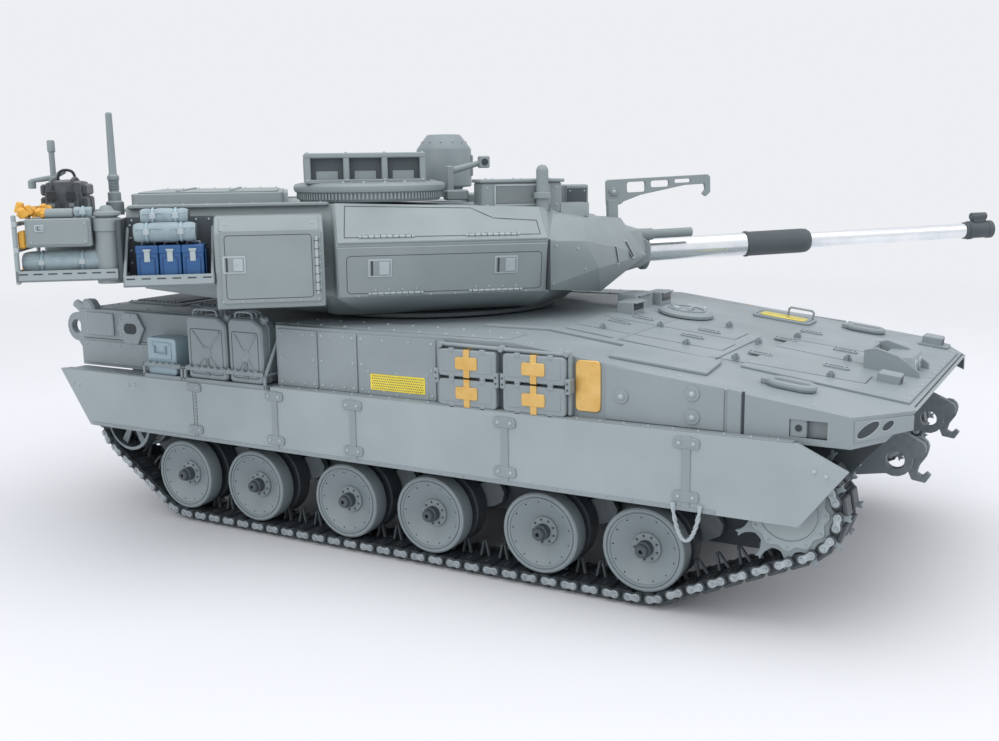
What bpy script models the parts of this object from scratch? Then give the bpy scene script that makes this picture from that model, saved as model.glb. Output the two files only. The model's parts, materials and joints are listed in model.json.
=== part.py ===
"""Radio-controlled model tank, 1:16, as separate parts.

+X is the front of the hull, +Y its left side, +Z up, and z = 0 is the ground.
Every length below is in millimetres; MM turns it into metres as a mesh is made.
The turret is stored turned to the left by STORED_TRAVERSE and the gun raised by
STORED_ELEVATION, so the rest pose is the pose the model is displayed in.
"""
import math

import bmesh
import bpy
from mathutils import Matrix, Vector

MM = 0.001
GAP = 0.3                     # air between two parts that touch
ROUND = 14                    # facets round a wheel

# Widths, each from the one above it
SPONSON_HALF = 110.0
SPONSON_REAR_HALF = SPONSON_HALF - 8.0     # the sides step in where the stowage racks stand
SKIRT_HALF = SPONSON_HALF + 6.4
WHEEL_FACE_Y = SPONSON_HALF - 5.2          # outer face of the wheels from the middle plane
TUB_HALF = WHEEL_FACE_Y - 30.7

# Running gear
WHEEL_R = 19.4
WHEEL_WIDTH = 23.0
WHEEL_RIM = 9.2               # width of each of a wheel's two rims
WHEEL_X = (-99.3, -48.5, 12.0, 62.9, 123.4, 174.2)
AXLE_BORE_R = 3.4
AXLE_CLEARANCE = 0.4
SHAFT_R = 2.6                 # gearbox output shaft
TRACK_THICK = 6.1
TRACK_WIDTH = 28.0
TRACK_PITCH = 10.3
TEETH = 12
SPROCKET_X = 237.7
SPROCKET_Z = 52.9
SPROCKET_TOOTH = 5.4          # height of a tooth above the pitch line
SPROCKET_PLATE = 2.2          # thickness of each toothed plate
IDLER_X = -142.0
IDLER_Z = 52.0
IDLER_R = 17.0
ARM_REACH = 22.0              # pivot ahead of the wheel's axle
ARM_PIVOT_Z = 33.5
ARM_THICK = 4.0

# Hull
TUB_FLOOR = 24.0
TUB_WALL = 2.6
SPLIT_Z = 82.2                # the upper hull lifts off here
SPONSON_STEP_X = -24.0
SHELL_WALL = 2.4
DECK_Z = 115.0
DECK_KNEE_X = 112.0           # the glacis starts to fall here
NOSE_X = 280.4
NOSE_Z = 92.8
NOSE_CHAMFER_X = 262.0
REAR_X = -178.0
RING_R = 62.0
PERISCOPE_TOP = 122.3         # just under the bustle as it passes over
HATCH_X = 141.0
HATCH_Y = 37.0
HATCH_R = 15.0
LUG_Y = 45.0
LUG_HALF = 2.0
EYE_X = 268.2
EYE_Z = 64.2
EYE_R = 4.0
HOOK_X = 277.0
HOOK_Z = 70.1
HOOK_THICK = 3.0
SKIRT_THICK = 2.8
SKIRT_TOP = 84.0
SKIRT_BOTTOM = 50.4

# Turret, in its own frame: x along the gun, y to its left, z from the ground
STORED_TRAVERSE = 40.0        # degrees to the left
TRAVERSE_STOP = 160.0         # degrees each way from straight ahead
STORED_ELEVATION = 1.84       # degrees
TURRET_BASE_Z = 118.5
ROOF_Z = 175.5
SIDE_HALF = 97.0
BUSTLE_HALF = SIDE_HALF - 20.0
BUSTLE_X = -157.0
TRUNNION_X = 84.0
TRUNNION_Z = 141.1
MUZZLE_X = 355.6
RECOIL = 9.0
CUPOLA_X = -37.0
CUPOLA_Y = -40.0
CUPOLA_R = 39.0
SENSOR_X = 10.0
SENSOR_Y = 12.0
SENSOR_R = 13.0
RACK_REAR_X = BUSTLE_X - 48.0
BIN_LENGTH = 35.0
BIN_TOP = 170.5
BASKET_Z = 141.2              # floor of the two side baskets
STORAGE_REAR_X = -115.0

# The turret ring's axis in the model's frame, which has its origin under the box's middle
HULL_ORIGIN = (-32.762, -14.619)

GREY = (0.27, 0.32, 0.34, 1.0)
PALE = (0.36, 0.41, 0.43, 1.0)
DARK = (0.05, 0.06, 0.065, 1.0)
STEEL = (0.35, 0.36, 0.37, 1.0)
BRIGHT = (0.80, 0.81, 0.82, 1.0)
CANVAS = (0.38, 0.46, 0.50, 1.0)
BLUE = (0.03, 0.11, 0.27, 1.0)
CARBON = (0.02, 0.022, 0.025, 1.0)
GREEN = (0.02, 0.16, 0.06, 1.0)

for old in list(bpy.data.objects):
    bpy.data.objects.remove(old, do_unlink=True)

model = bpy.data.collections.new("rc_tank")
bpy.context.scene.collection.children.link(model)


# ---------------------------------------------------------------- helpers

def material(name, color, roughness, metallic):
    mat = bpy.data.materials.new(name)
    mat.use_nodes = True
    shader = mat.node_tree.nodes["Principled BSDF"]
    shader.inputs["Base Color"].default_value = color
    shader.inputs["Roughness"].default_value = roughness
    shader.inputs["Metallic"].default_value = metallic
    mat.diffuse_color = color
    return mat


def solid(name, bm):
    """A plain object from a bmesh in millimetres."""
    bmesh.ops.recalc_face_normals(bm, faces=bm.faces)
    mesh = bpy.data.meshes.new(name)
    bm.to_mesh(mesh)
    bm.free()
    obj = bpy.data.objects.new(name, mesh)
    model.objects.link(obj)
    return obj


def box(x, y, z):
    """A box between the two values of each pair."""
    bm = bmesh.new()
    size = Vector((abs(x[1] - x[0]), abs(y[1] - y[0]), abs(z[1] - z[0])))
    middle = Vector(((x[0] + x[1]) / 2, (y[0] + y[1]) / 2, (z[0] + z[1]) / 2))
    bmesh.ops.create_cube(bm, size=1.0, matrix=Matrix.Translation(middle) @ Matrix.Diagonal(size).to_4x4())
    return solid("box", bm)


def rod(start, end, radius, segments=12, end_radius=None):
    """A cylinder, or a cone, between two points."""
    a, b = Vector(start), Vector(end)
    turn = (b - a).to_track_quat("Z", "Y").to_matrix().to_4x4()
    place = Matrix.Translation((a + b) / 2) @ turn
    bm = bmesh.new()
    bmesh.ops.create_cone(bm, cap_ends=True, segments=segments, radius1=radius,
                          radius2=radius if end_radius is None else end_radius,
                          depth=(b - a).length, matrix=place)
    return solid("rod", bm)


def prism(outline, low, high, plane="XZ"):
    """An outline in the XZ or XY plane, pushed from low to high along the third axis."""
    bm = bmesh.new()
    if plane == "XZ":
        points = [(u, low, v) for u, v in outline]
        push = Vector((0.0, high - low, 0.0))
    else:
        points = [(u, v, low) for u, v in outline]
        push = Vector((0.0, 0.0, high - low))
    face = bm.faces.new([bm.verts.new(p) for p in points])
    pushed = bmesh.ops.extrude_face_region(bm, geom=[face])
    moved = [item for item in pushed["geom"] if isinstance(item, bmesh.types.BMVert)]
    bmesh.ops.translate(bm, verts=moved, vec=push)
    return solid("prism", bm)


def loft(rings):
    """A closed solid through rings that have the same number of points."""
    bm = bmesh.new()
    rows = [[bm.verts.new(p) for p in ring] for ring in rings]
    for lower, upper in zip(rows, rows[1:]):
        for i in range(len(lower)):
            j = (i + 1) % len(lower)
            bm.faces.new((lower[i], lower[j], upper[j], upper[i]))
    bm.faces.new(rows[0])
    bm.faces.new(rows[-1])
    return solid("loft", bm)


def hulled(points):
    """The convex solid round a set of points, all of them corners."""
    bm = bmesh.new()
    for point in points:
        bm.verts.new(point)
    bmesh.ops.convex_hull(bm, input=bm.verts)
    return solid("hulled", bm)


def turned(profile, segments, axis="Z", centre=(0.0, 0.0, 0.0)):
    """A profile of (radius, height) points, turned about an axis with a Screw modifier."""
    mesh = bpy.data.meshes.new("profile")
    points = [(r, 0.0, h) if axis == "Z" else (r, h, 0.0) for r, h in profile]
    edges = [(i, i + 1) for i in range(len(points) - 1)]
    if profile[0][0] > 0.0:
        edges.append((len(points) - 1, 0))
    mesh.from_pydata(points, edges, [])
    obj = bpy.data.objects.new("turned", mesh)
    model.objects.link(obj)
    screw = obj.modifiers.new("Screw", "SCREW")
    screw.axis = axis
    screw.steps = screw.render_steps = segments
    screw.use_merge_vertices = True
    screw.merge_threshold = 0.0001
    screw.use_smooth_shade = False
    return shifted(settled(obj), centre)


def settled(obj):
    """Apply an object's modifiers, and turn its faces outward."""
    graph = bpy.context.evaluated_depsgraph_get()
    mesh = bpy.data.meshes.new_from_object(obj.evaluated_get(graph))
    bm = bmesh.new()
    bm.from_mesh(mesh)
    bmesh.ops.remove_doubles(bm, verts=bm.verts, dist=0.0005)
    bmesh.ops.dissolve_degenerate(bm, dist=0.001, edges=bm.edges)
    bmesh.ops.delete(bm, geom=[edge for edge in bm.edges if not edge.link_faces], context="EDGES")
    bmesh.ops.recalc_face_normals(bm, faces=bm.faces)
    bm.to_mesh(mesh)
    bm.free()
    obj.modifiers.clear()
    obj.data = mesh
    return obj


def shifted(obj, offset):
    obj.data.transform(Matrix.Translation(Vector(offset)))
    return obj


def combined(operation, base, others):
    """Boolean the others into the base, one after the other, and remove them."""
    for other in others:
        step = base.modifiers.new(operation, "BOOLEAN")
        step.operation = operation
        step.solver = "EXACT"
        step.object = other
        settled(base)
        bpy.data.objects.remove(other, do_unlink=True)
    return base


def fused(base, *others):
    return combined("UNION", base, others)


def cut(base, *cutters):
    return combined("DIFFERENCE", base, cutters)


def mirrored(obj, side):
    """Side +1 keeps a left-hand shape; -1 makes it the right-hand one."""
    if side < 0:
        obj.data.transform(Matrix.Scale(-1.0, 4, (0.0, 1.0, 0.0)))
        obj.data.flip_normals()
    return obj


def finish(name, obj, parent, color, roughness, metallic=0.0, origin=(0.0, 0.0, 0.0), smooth=False):
    """Name a shape, give it its material, and put its origin on its joint."""
    origin = Vector(origin)
    obj.data.transform(Matrix.Scale(MM, 4) @ Matrix.Translation(-origin))
    obj.name = name
    obj.data.name = name
    obj.parent = parent
    obj.location = origin * MM
    obj.data.materials.clear()
    obj.data.materials.append(material(name, color, roughness, metallic))
    if smooth:
        obj.data.shade_smooth()
        obj.data.set_sharp_from_angle(angle=math.radians(35))
    return obj


def axis_empty(name, location, parent=None, turn=(0.0, 0.0, 0.0)):
    empty = bpy.data.objects.new(name, None)
    model.objects.link(empty)
    empty.parent = parent
    empty.location = Vector(location) * MM
    empty.rotation_euler = turn
    return empty


def arc(centre, radius, start, end, steps):
    """Points on an arc, angles in degrees."""
    points = []
    for i in range(steps + 1):
        angle = math.radians(start + (end - start) * i / steps)
        points.append((centre[0] + radius * math.cos(angle), centre[1] + radius * math.sin(angle)))
    return points


def belt(circles, steps):
    """The outline of a belt round circles (x, z, radius), given in order round the loop."""
    points = []
    count = len(circles)
    tangents = []
    for i in range(count):
        (ax, az, ar), (bx, bz, br) = circles[i], circles[(i + 1) % count]
        heading = math.atan2(bz - az, bx - ax)
        lean = math.asin((ar - br) / math.hypot(bx - ax, bz - az))
        tangents.append(heading - math.pi / 2 + lean)
    for i in range(count):
        x, z, radius = circles[i]
        start, end = tangents[i - 1], tangents[i]
        sweep = (end - start) % (2 * math.pi)
        if sweep > math.pi * 1.5:
            sweep = 0.0
        spans = max(1, round(steps * sweep / math.pi))
        for k in range(spans + 1):
            angle = start + sweep * k / spans
            point = (x + radius * math.cos(angle), z + radius * math.sin(angle))
            if not points or math.dist(point, points[-1]) > 0.05:
                points.append(point)
    return points


# ---------------------------------------------------------------- frames

hull = axis_empty("hull_frame", (HULL_ORIGIN[0], HULL_ORIGIN[1], 0.0))
turret = axis_empty("turret_axis", (0.0, 0.0, 0.0), hull, (0.0, 0.0, math.radians(STORED_TRAVERSE)))
gun = axis_empty("trunnion", (TRUNNION_X, 0.0, TRUNNION_Z), turret,
                 (0.0, -math.radians(STORED_ELEVATION), 0.0))

axle_z = TRACK_THICK + GAP + WHEEL_R
pitch_r = TEETH * TRACK_PITCH / (2 * math.pi)
track_inner_r = pitch_r - 2.0
sprocket_root_r = track_inner_r - GAP
sprocket_tip_r = pitch_r + SPROCKET_TOOTH
track_mid_y = WHEEL_FACE_Y - WHEEL_WIDTH / 2
plate_offset = TRACK_WIDTH / 2 - 3.2


# ---------------------------------------------------------------- running gear

def road_wheel():
    """One wheel: a dished disc pair with a slot between the rims and a blind axle bore."""
    hub_tip = 3.0
    groove_r = WHEEL_R - 5.2
    profile = [(0.0, -hub_tip), (2.6, -hub_tip), (2.6, 2.4), (8.0, 2.4), (WHEEL_R - 1.8, 0.6), (WHEEL_R, 0.0),
               (WHEEL_R, WHEEL_RIM), (groove_r, WHEEL_RIM), (groove_r, WHEEL_WIDTH - WHEEL_RIM),
               (WHEEL_R, WHEEL_WIDTH - WHEEL_RIM), (WHEEL_R, WHEEL_WIDTH),
               (AXLE_BORE_R, WHEEL_WIDTH), (AXLE_BORE_R, 7.0), (0.0, 7.0)]
    return turned([(r, WHEEL_FACE_Y - t) for r, t in profile], ROUND, "Y")


def swing_arm():
    """A trailing arm: pivot pin into the hull, flat lever, stub axle into the wheel."""
    face = WHEEL_FACE_Y - WHEEL_WIDTH - 1.0
    lever = prism(
        arc((ARM_REACH, ARM_PIVOT_Z - axle_z), 6.6, -85, 100, 4) + arc((0.0, 0.0), 5.4, 100, 275, 4),
        face - ARM_THICK, face)
    axle = rod((0.0, face - 1.0, 0.0), (0.0, WHEEL_FACE_Y - 8.0, 0.0), AXLE_BORE_R - AXLE_CLEARANCE, 8)
    pivot_z = ARM_PIVOT_Z - axle_z
    pin = rod((ARM_REACH, TUB_HALF + GAP, pivot_z), (ARM_REACH, face - 0.5, pivot_z), 4.2, 8)
    return fused(lever, axle, pin)


def toothed_outline(root, tip):
    """The edge of a toothed plate."""
    points = []
    step = 360.0 / TEETH
    for tooth in range(TEETH):
        middle = -90.0 + tooth * step
        for radius, half in ((root, 8.4), (tip, 3.6)):
            points.append((radius, middle - half))
        for radius, half in ((tip, 3.6), (root, 8.4)):
            points.append((radius, middle + half))
    return [(r * math.cos(math.radians(a)), r * math.sin(math.radians(a))) for r, a in points]


def drive_sprocket():
    """Two toothed plates on a drum, with a bore for the gearbox's output shaft."""
    drum_r = sprocket_root_r - 3.4
    outer = track_mid_y + plate_offset
    inner = track_mid_y - plate_offset
    drum = turned([(0.0, outer + 3.4), (5.4, outer + 3.4), (6.6, outer - 1.0), (drum_r, outer - 1.0),
                   (drum_r, inner + 1.0), (drum_r - 4.0, inner - 2.0), (0.0, inner - 2.0)], ROUND, "Y")
    plates = [prism(toothed_outline(sprocket_root_r, sprocket_tip_r),
                    middle - SPROCKET_PLATE / 2, middle + SPROCKET_PLATE / 2) for middle in (outer, inner)]
    bore = rod((0.0, inner - 6.0, 0.0), (0.0, inner + 10.0, 0.0), SHAFT_R + AXLE_CLEARANCE, ROUND)
    return cut(fused(drum, *plates), bore)


def idler_wheel():
    """A rear wheel with two rims and a bore for its axle."""
    outer, inner = WHEEL_FACE_Y - 0.6, WHEEL_FACE_Y - WHEEL_WIDTH + 0.6
    profile = [(0.0, outer), (4.0, outer), (5.0, outer - 3.0), (13.4, outer - 3.0), (14.6, outer), (IDLER_R, outer),
               (IDLER_R, outer - 7.6), (13.0, outer - 7.6), (13.0, inner + 7.6), (IDLER_R, inner + 7.6),
               (IDLER_R, inner), (AXLE_BORE_R, inner), (AXLE_BORE_R, outer - 8.0), (0.0, outer - 8.0)]
    return turned(profile, ROUND, "Y")


def track():
    """One closed track run, with a slot round the sprocket for each toothed plate to turn in."""
    path = [(IDLER_X, IDLER_Z, IDLER_R + GAP)]
    path += [(x, axle_z, WHEEL_R + GAP) for x in WHEEL_X]
    path += [(SPROCKET_X, SPROCKET_Z, track_inner_r)]
    inner = belt(path, 12)
    outer = belt([(x, z, r + TRACK_THICK) for x, z, r in path], 12)
    low, high = track_mid_y - TRACK_WIDTH / 2, track_mid_y + TRACK_WIDTH / 2
    band = cut(prism(outer, low, high), prism(inner, low - 5.0, high + 5.0))
    play = 0.5
    slots = []
    for middle in (track_mid_y + plate_offset, track_mid_y - plate_offset):
        slots.append(rod((SPROCKET_X, middle - SPROCKET_PLATE / 2 - play, SPROCKET_Z),
                         (SPROCKET_X, middle + SPROCKET_PLATE / 2 + play, SPROCKET_Z), sprocket_tip_r + play, 48))
    return cut(band, *slots)


for side, word in ((-1, "right"), (1, "left")):
    for number, x in enumerate(WHEEL_X, 1):
        wheel = shifted(mirrored(road_wheel(), side), (x, 0.0, axle_z))
        finish(f"road_wheel_{word}_{number}", wheel, hull, GREY, 0.55, 0.0,
               (x, side * track_mid_y, axle_z), smooth=True)
        arm = shifted(mirrored(swing_arm(), side), (x, 0.0, axle_z))
        finish(f"swing_arm_{word}_{number}", arm, hull, STEEL, 0.5, 0.6,
               (x + ARM_REACH, side * TUB_HALF, ARM_PIVOT_Z), smooth=True)
    sprocket = shifted(mirrored(drive_sprocket(), side), (SPROCKET_X, 0.0, SPROCKET_Z))
    finish(f"drive_sprocket_{word}", sprocket, hull, GREY, 0.5, 0.2,
           (SPROCKET_X, side * track_mid_y, SPROCKET_Z))
    idler = shifted(mirrored(idler_wheel(), side), (IDLER_X, 0.0, IDLER_Z))
    finish(f"idler_wheel_{word}", idler, hull, GREY, 0.5, 0.2,
           (IDLER_X, side * track_mid_y, IDLER_Z), smooth=True)
    finish(f"track_{word}", mirrored(track(), side), hull, DARK, 0.6, 0.5)


# ---------------------------------------------------------------- hull

nose_slope = (NOSE_X - 244.2) / (NOSE_Z - 50.2)


def nose_x(z):
    """Where the sloping nose plate is at a height."""
    return NOSE_X - (NOSE_Z - z) * nose_slope


def deck_z(x):
    """Height of the deck at a place along the hull."""
    fall = (DECK_Z - NOSE_Z) / (NOSE_X - DECK_KNEE_X)
    return DECK_Z - max(0.0, x - DECK_KNEE_X) * fall


def lower_hull():
    """An open tub with a sloping nose, gearbox holes and idler axles."""
    outline = [(-172.0, SPLIT_Z), (-152.0, TUB_FLOOR + 8.0), (-143.0, TUB_FLOOR), (220.0, TUB_FLOOR),
               (nose_x(50.2), 50.2), (nose_x(SPLIT_Z), SPLIT_Z)]
    inside = [(-168.0, SPLIT_Z + 5.0), (-149.0, TUB_FLOOR + 10.0), (-141.0, TUB_FLOOR + TUB_WALL),
              (218.5, TUB_FLOOR + TUB_WALL), (nose_x(50.2) - 3.4, 50.2), (nose_x(SPLIT_Z) + 0.2, SPLIT_Z + 5.0)]
    tub = prism(outline, -TUB_HALF, TUB_HALF)
    extras = []
    for side in (-1, 1):
        axle_in, axle_out = side * (TUB_HALF - 1.0), side * (WHEEL_FACE_Y - 9.0)
        extras.append(rod((IDLER_X, axle_in, IDLER_Z), (IDLER_X, axle_out, IDLER_Z),
                          AXLE_BORE_R - AXLE_CLEARANCE, 12))
    tub = fused(tub, *extras)
    shaft_holes = [rod((SPROCKET_X, side * (TUB_HALF - 6.0), SPROCKET_Z),
                       (SPROCKET_X, side * (TUB_HALF + 3.0), SPROCKET_Z), 4.0, 16) for side in (-1, 1)]
    return cut(tub, prism(inside, -TUB_HALF + TUB_WALL, TUB_HALF - TUB_WALL), *shaft_holes)


def trimmed(block, inset):
    """Take the nose corners and the rear side steps off a full-width block."""
    corners = []
    low, high = SPLIT_Z - 20.0, DECK_Z + 10.0
    for side in (-1, 1):
        corners.append(prism([(NOSE_CHAMFER_X - 1.5 * inset, side * SPONSON_HALF),
                              (NOSE_X - 1.5 * inset, side * TUB_HALF), (NOSE_X + 20, side * TUB_HALF),
                              (NOSE_X + 20, side * (SPONSON_HALF + 10)),
                              (NOSE_CHAMFER_X - 1.5 * inset, side * (SPONSON_HALF + 10))], low, high, "XY"))
        corners.append(box((REAR_X - 10, SPONSON_STEP_X + inset),
                           (side * (SPONSON_REAR_HALF - inset), side * (SPONSON_HALF + 10)), (low, high)))
    return cut(block, *corners)


def upper_hull():
    """The deck, glacis and sponsons as one shell, open underneath, with the turret ring."""
    low = SPLIT_Z + GAP
    outline = [(REAR_X, low), (REAR_X, DECK_Z), (DECK_KNEE_X, DECK_Z), (NOSE_X, NOSE_Z), (nose_x(low), low)]
    w = SHELL_WALL
    hollow = [(REAR_X + w, low - 5.0), (REAR_X + w, DECK_Z - w), (DECK_KNEE_X - w, DECK_Z - w),
              (NOSE_X - 3.5 * w, deck_z(NOSE_X - 3.5 * w) - w), (nose_x(low) - 2.5 * w, low - 5.0)]
    shell = trimmed(prism(outline, -SPONSON_HALF, SPONSON_HALF), 0.0)
    room = trimmed(prism(hollow, w - SPONSON_HALF, SPONSON_HALF - w), w)
    ring = rod((0, 0, DECK_Z - 20), (0, 0, DECK_Z + 5), RING_R - 4.0, 32)
    shell = cut(shell, room, ring)
    extras = [box((106.0, 117.0), (24.0, 48.0), (DECK_Z - 1.5, PERISCOPE_TOP)),
              box((254.0, 268.0), (-13.0, 12.0), (deck_z(261) - 1.5, deck_z(261) + 8.5)),
              box((140.0, 144.0), (-66.0, 15.0), (deck_z(142) - 1.5, deck_z(142) + 0.8))]
    for side in (-1, 1):
        floor_half = (side * (TUB_HALF + 0.6), side * (SPONSON_HALF - 1.0))
        extras.append(box((SPONSON_STEP_X + 1, NOSE_CHAMFER_X - 6), floor_half, (low + 0.4, low + 2.4)))
        eye_y = side * (SPONSON_REAR_HALF - 4.0)
        eye = prism([(REAR_X + 1, 88), (REAR_X + 1, 113)] + arc((REAR_X - 5, 104), 8.5, 90, 270, 8),
                    eye_y - 2.0, eye_y + 2.0)
        extras.append(cut(eye, rod((REAR_X - 6, eye_y - 4, 104), (REAR_X - 6, eye_y + 4, 104), 4.2, 12)))
    return fused(shell, *extras)


def side_skirt():
    """One long skirt with its inward ledge."""
    outline = [(-180.5, 82.0), (-158.9, SKIRT_BOTTOM + 0.6), (244.5, SKIRT_BOTTOM), (262.8, 74.6),
               (242.9, SKIRT_TOP), (SPONSON_STEP_X, SKIRT_TOP), (SPONSON_STEP_X, 82.0)]
    inner = SKIRT_HALF - SKIRT_THICK
    plate = prism(outline, inner, SKIRT_HALF)
    ledge = box((-176.0, SPONSON_STEP_X - 0.4), (SPONSON_REAR_HALF + GAP, inner + 1), (79.4, 81.9))
    strip = box((SPONSON_STEP_X - 1.0, 240.0), (SPONSON_HALF + GAP, inner + 1), (79.4, 82.0))
    return fused(plate, ledge, strip)


def driver_hatch():
    """A round lid with a hinge ear, lying on the sloping deck."""
    lid = turned([(0.0, 2.8), (HATCH_R - 2.5, 2.8), (HATCH_R, 1.4), (HATCH_R, 0.0), (0.0, 0.0)], 20)
    ear = box((-4.0, 4.0), (HATCH_R - 2.0, HATCH_R + 4.0), (0.2, 2.4))
    return fused(lid, ear)


def tow_lug(y):
    """A lug that stands on the nose plate, with its eye and the bolt the hook hangs from."""
    foot = GAP * 1.5
    plate = prism([(nose_x(78.0) + foot, 78.0)] + arc((HOOK_X, HOOK_Z), 3.8, 80, -60, 4) +
                  arc((EYE_X, EYE_Z), EYE_R + 3.4, 10, -120, 6) + [(nose_x(55.0) + foot, 55.0)],
                  y - LUG_HALF, y + LUG_HALF)
    bolt = rod((HOOK_X, y, HOOK_Z), (HOOK_X, y + LUG_HALF + GAP + HOOK_THICK + 1.0, HOOK_Z), 1.6, 10)
    eye = rod((EYE_X, y - 4, EYE_Z), (EYE_X, y + 4, EYE_Z), EYE_R, 14)
    return fused(cut(plate, eye), bolt)


def tow_hook(y):
    """A hook that hangs from the lug's bolt."""
    low = y + LUG_HALF + GAP
    shank = prism(arc((HOOK_X, HOOK_Z), 4.4, -20, 180, 7) +
                  [(272.0, 61.0), (274.6, 55.0), (280.4, 54.2), (282.6, 57.8), (280.8, 59.2), (279.0, 57.2),
                   (276.8, 58.4), (277.6, 61.6), (280.4, 66.0)], low, low + HOOK_THICK)
    return cut(shank, rod((HOOK_X, low - 2, HOOK_Z), (HOOK_X, low + 6, HOOK_Z), 1.6 + AXLE_CLEARANCE, 10))


def stowage_rack():
    """The side rack behind the step, with two cans and a box standing in it."""
    inner, outer = SPONSON_REAR_HALF + GAP, SKIRT_HALF - 0.4
    floor = SKIRT_TOP - 2.0 + GAP
    front = SPONSON_STEP_X - GAP - 3.0
    pieces = [box((-114.3, front - 0.2), (inner, outer - 0.2), (floor, floor + 1.6))]
    for low, high in ((-114.5, -84.9), (-84.0, front)):
        for z in (floor + 0.2, floor + 6.0):
            pieces.append(box((low + 0.2, high - 0.2), (outer - 1.6, outer - 0.3), (z, z + 2.0)))
        for x in (low, high - 1.8):
            pieces.append(box((x, x + 1.8), (inner + 0.2, outer), (floor + 0.1, floor + 8.3)))
    pieces.append(box((-110.5, -90.5), (inner + 0.4, outer - 2.0), (floor + 1.0, 103.5)))
    for start in (-79.0, -53.5):
        can = prism([(start, floor + 1.0), (start + 23.0, floor + 1.0), (start + 23.0, 112.5), (start + 19.0, 116.5),
                     (start + 14.0, 118.6), (start, 118.6)], inner + 0.6, outer - 1.5)
        pieces.append(can)
    return fused(*pieces)


def sponson_boxes():
    """Eight stowage bins in two racks on one backing plate."""
    inner, outer = SPONSON_HALF + GAP, SKIRT_HALF - 1.0
    floor = SKIRT_TOP + GAP
    plate = box((75.0, 143.0), (inner, inner + 1.6), (floor, 111.0))
    bins = []
    for left in (76.5, 92.5, 110.5, 126.5):
        for low, high in ((floor + 0.4, 96.4), (98.0, 110.2)):
            bins.append(box((left, left + 14.6), (inner + 1.0, outer), (low, high)))
    return fused(plate, *bins)


finish("lower_hull", lower_hull(), hull, GREY, 0.5)
finish("upper_hull", upper_hull(), hull, PALE, 0.5)
deck_slope = math.atan((DECK_Z - NOSE_Z) / (NOSE_X - DECK_KNEE_X))
lid = driver_hatch()
lid.data.transform(Matrix.Rotation(deck_slope, 4, "Y"))
shifted(lid, (HATCH_X, HATCH_Y, deck_z(HATCH_X) + GAP + 0.2))
hatch_hinge = (HATCH_X, HATCH_Y + HATCH_R + 4.0, deck_z(HATCH_X) + GAP + 1.3)
finish("driver_hatch", lid, hull, PALE, 0.5, 0.0, hatch_hinge)
for side, word in ((-1, "right"), (1, "left")):
    finish(f"side_skirt_{word}", mirrored(side_skirt(), side), hull, PALE, 0.5)
    lug_y = side * LUG_Y
    finish(f"tow_lug_{word}", tow_lug(lug_y), hull, STEEL, 0.5, 0.5)
    finish(f"tow_hook_{word}", tow_hook(lug_y), hull, STEEL, 0.5, 0.5,
           (HOOK_X, lug_y + LUG_HALF + GAP, HOOK_Z))
    finish(f"stowage_rack_{word}", mirrored(stowage_rack(), side), hull, PALE, 0.5)
finish("sponson_boxes", mirrored(sponson_boxes(), -1), hull, PALE, 0.5)


# ---------------------------------------------------------------- inside the hull

def gearbox(side):
    """A gearbox with its motor can and the shaft that carries the sprocket."""
    face = TUB_HALF - TUB_WALL - 3.5
    case = fused(box((188.0, 224.0), (side * 22.0, side * face), (TUB_FLOOR + TUB_WALL + 9.0, 68.0)),
                 box((216.0, 240.6), (side * 23.0, side * (face - 1.0)), (51.0, 67.0)))
    case = fused(case, rod((160.0, side * 45.0, 46.0), (200.0, side * 45.0, 46.0), 12.0, 18))
    shaft_end = side * (track_mid_y - plate_offset + 9.5)
    return fused(case, rod((SPROCKET_X, side * (face - 2.0), SPROCKET_Z), (SPROCKET_X, shaft_end, SPROCKET_Z),
                           SHAFT_R, 12))


for side, word in ((-1, "right"), (1, "left")):
    finish(f"gearbox_{word}", gearbox(side), hull, STEEL, 0.4, 0.8)

tub_top = TUB_FLOOR + TUB_WALL + GAP
battery = box((-60.0, 78.0), (-23.0, 23.0), (tub_top, tub_top + 24.0))
finish("battery_pack", battery, hull, BLUE, 0.5)
board = fused(box((-125.0, -70.0), (-40.0, 40.0), (tub_top + 6.0, tub_top + 8.0)),
              box((-112.0, -88.0), (-26.0, 26.0), (tub_top + 7.5, tub_top + 20.0)),
              *[rod((x, y, tub_top), (x, y, tub_top + 6.5), 2.5, 8) for x in (-121, -74) for y in (-36, 36)])
finish("control_board", board, hull, GREEN, 0.5)
traverse = fused(box((-58.0, -30.0), (42.0, 64.0), (tub_top, 92.0)),
                 rod((-44.0, 53.0, 91.0), (-44.0, 53.0, 104.0), 4.0, 12))
finish("traverse_motor", traverse, hull, STEEL, 0.4, 0.6)
switch = fused(box((-137.0, -129.0), (-3.0, 3.0), (TUB_FLOOR - 1.2, TUB_FLOOR - GAP)),
               box((-134.4, -131.6), (-2.2, 2.2), (TUB_FLOOR - 3.0, TUB_FLOOR - 1.0)))
finish("power_switch", switch, hull, CARBON, 0.5, 0.0, (-133.0, 0.0, TUB_FLOOR))


# ---------------------------------------------------------------- turret

def turret_ring_points(z, points):
    """A symmetric outline from its right half, front to rear, at a height of its own per point."""
    right = [(x, -y, h if h is not None else z) for x, y, h in points]
    left = [(x, y, h if h is not None else z) for x, y, h in reversed(points)]
    return right + left


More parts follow.
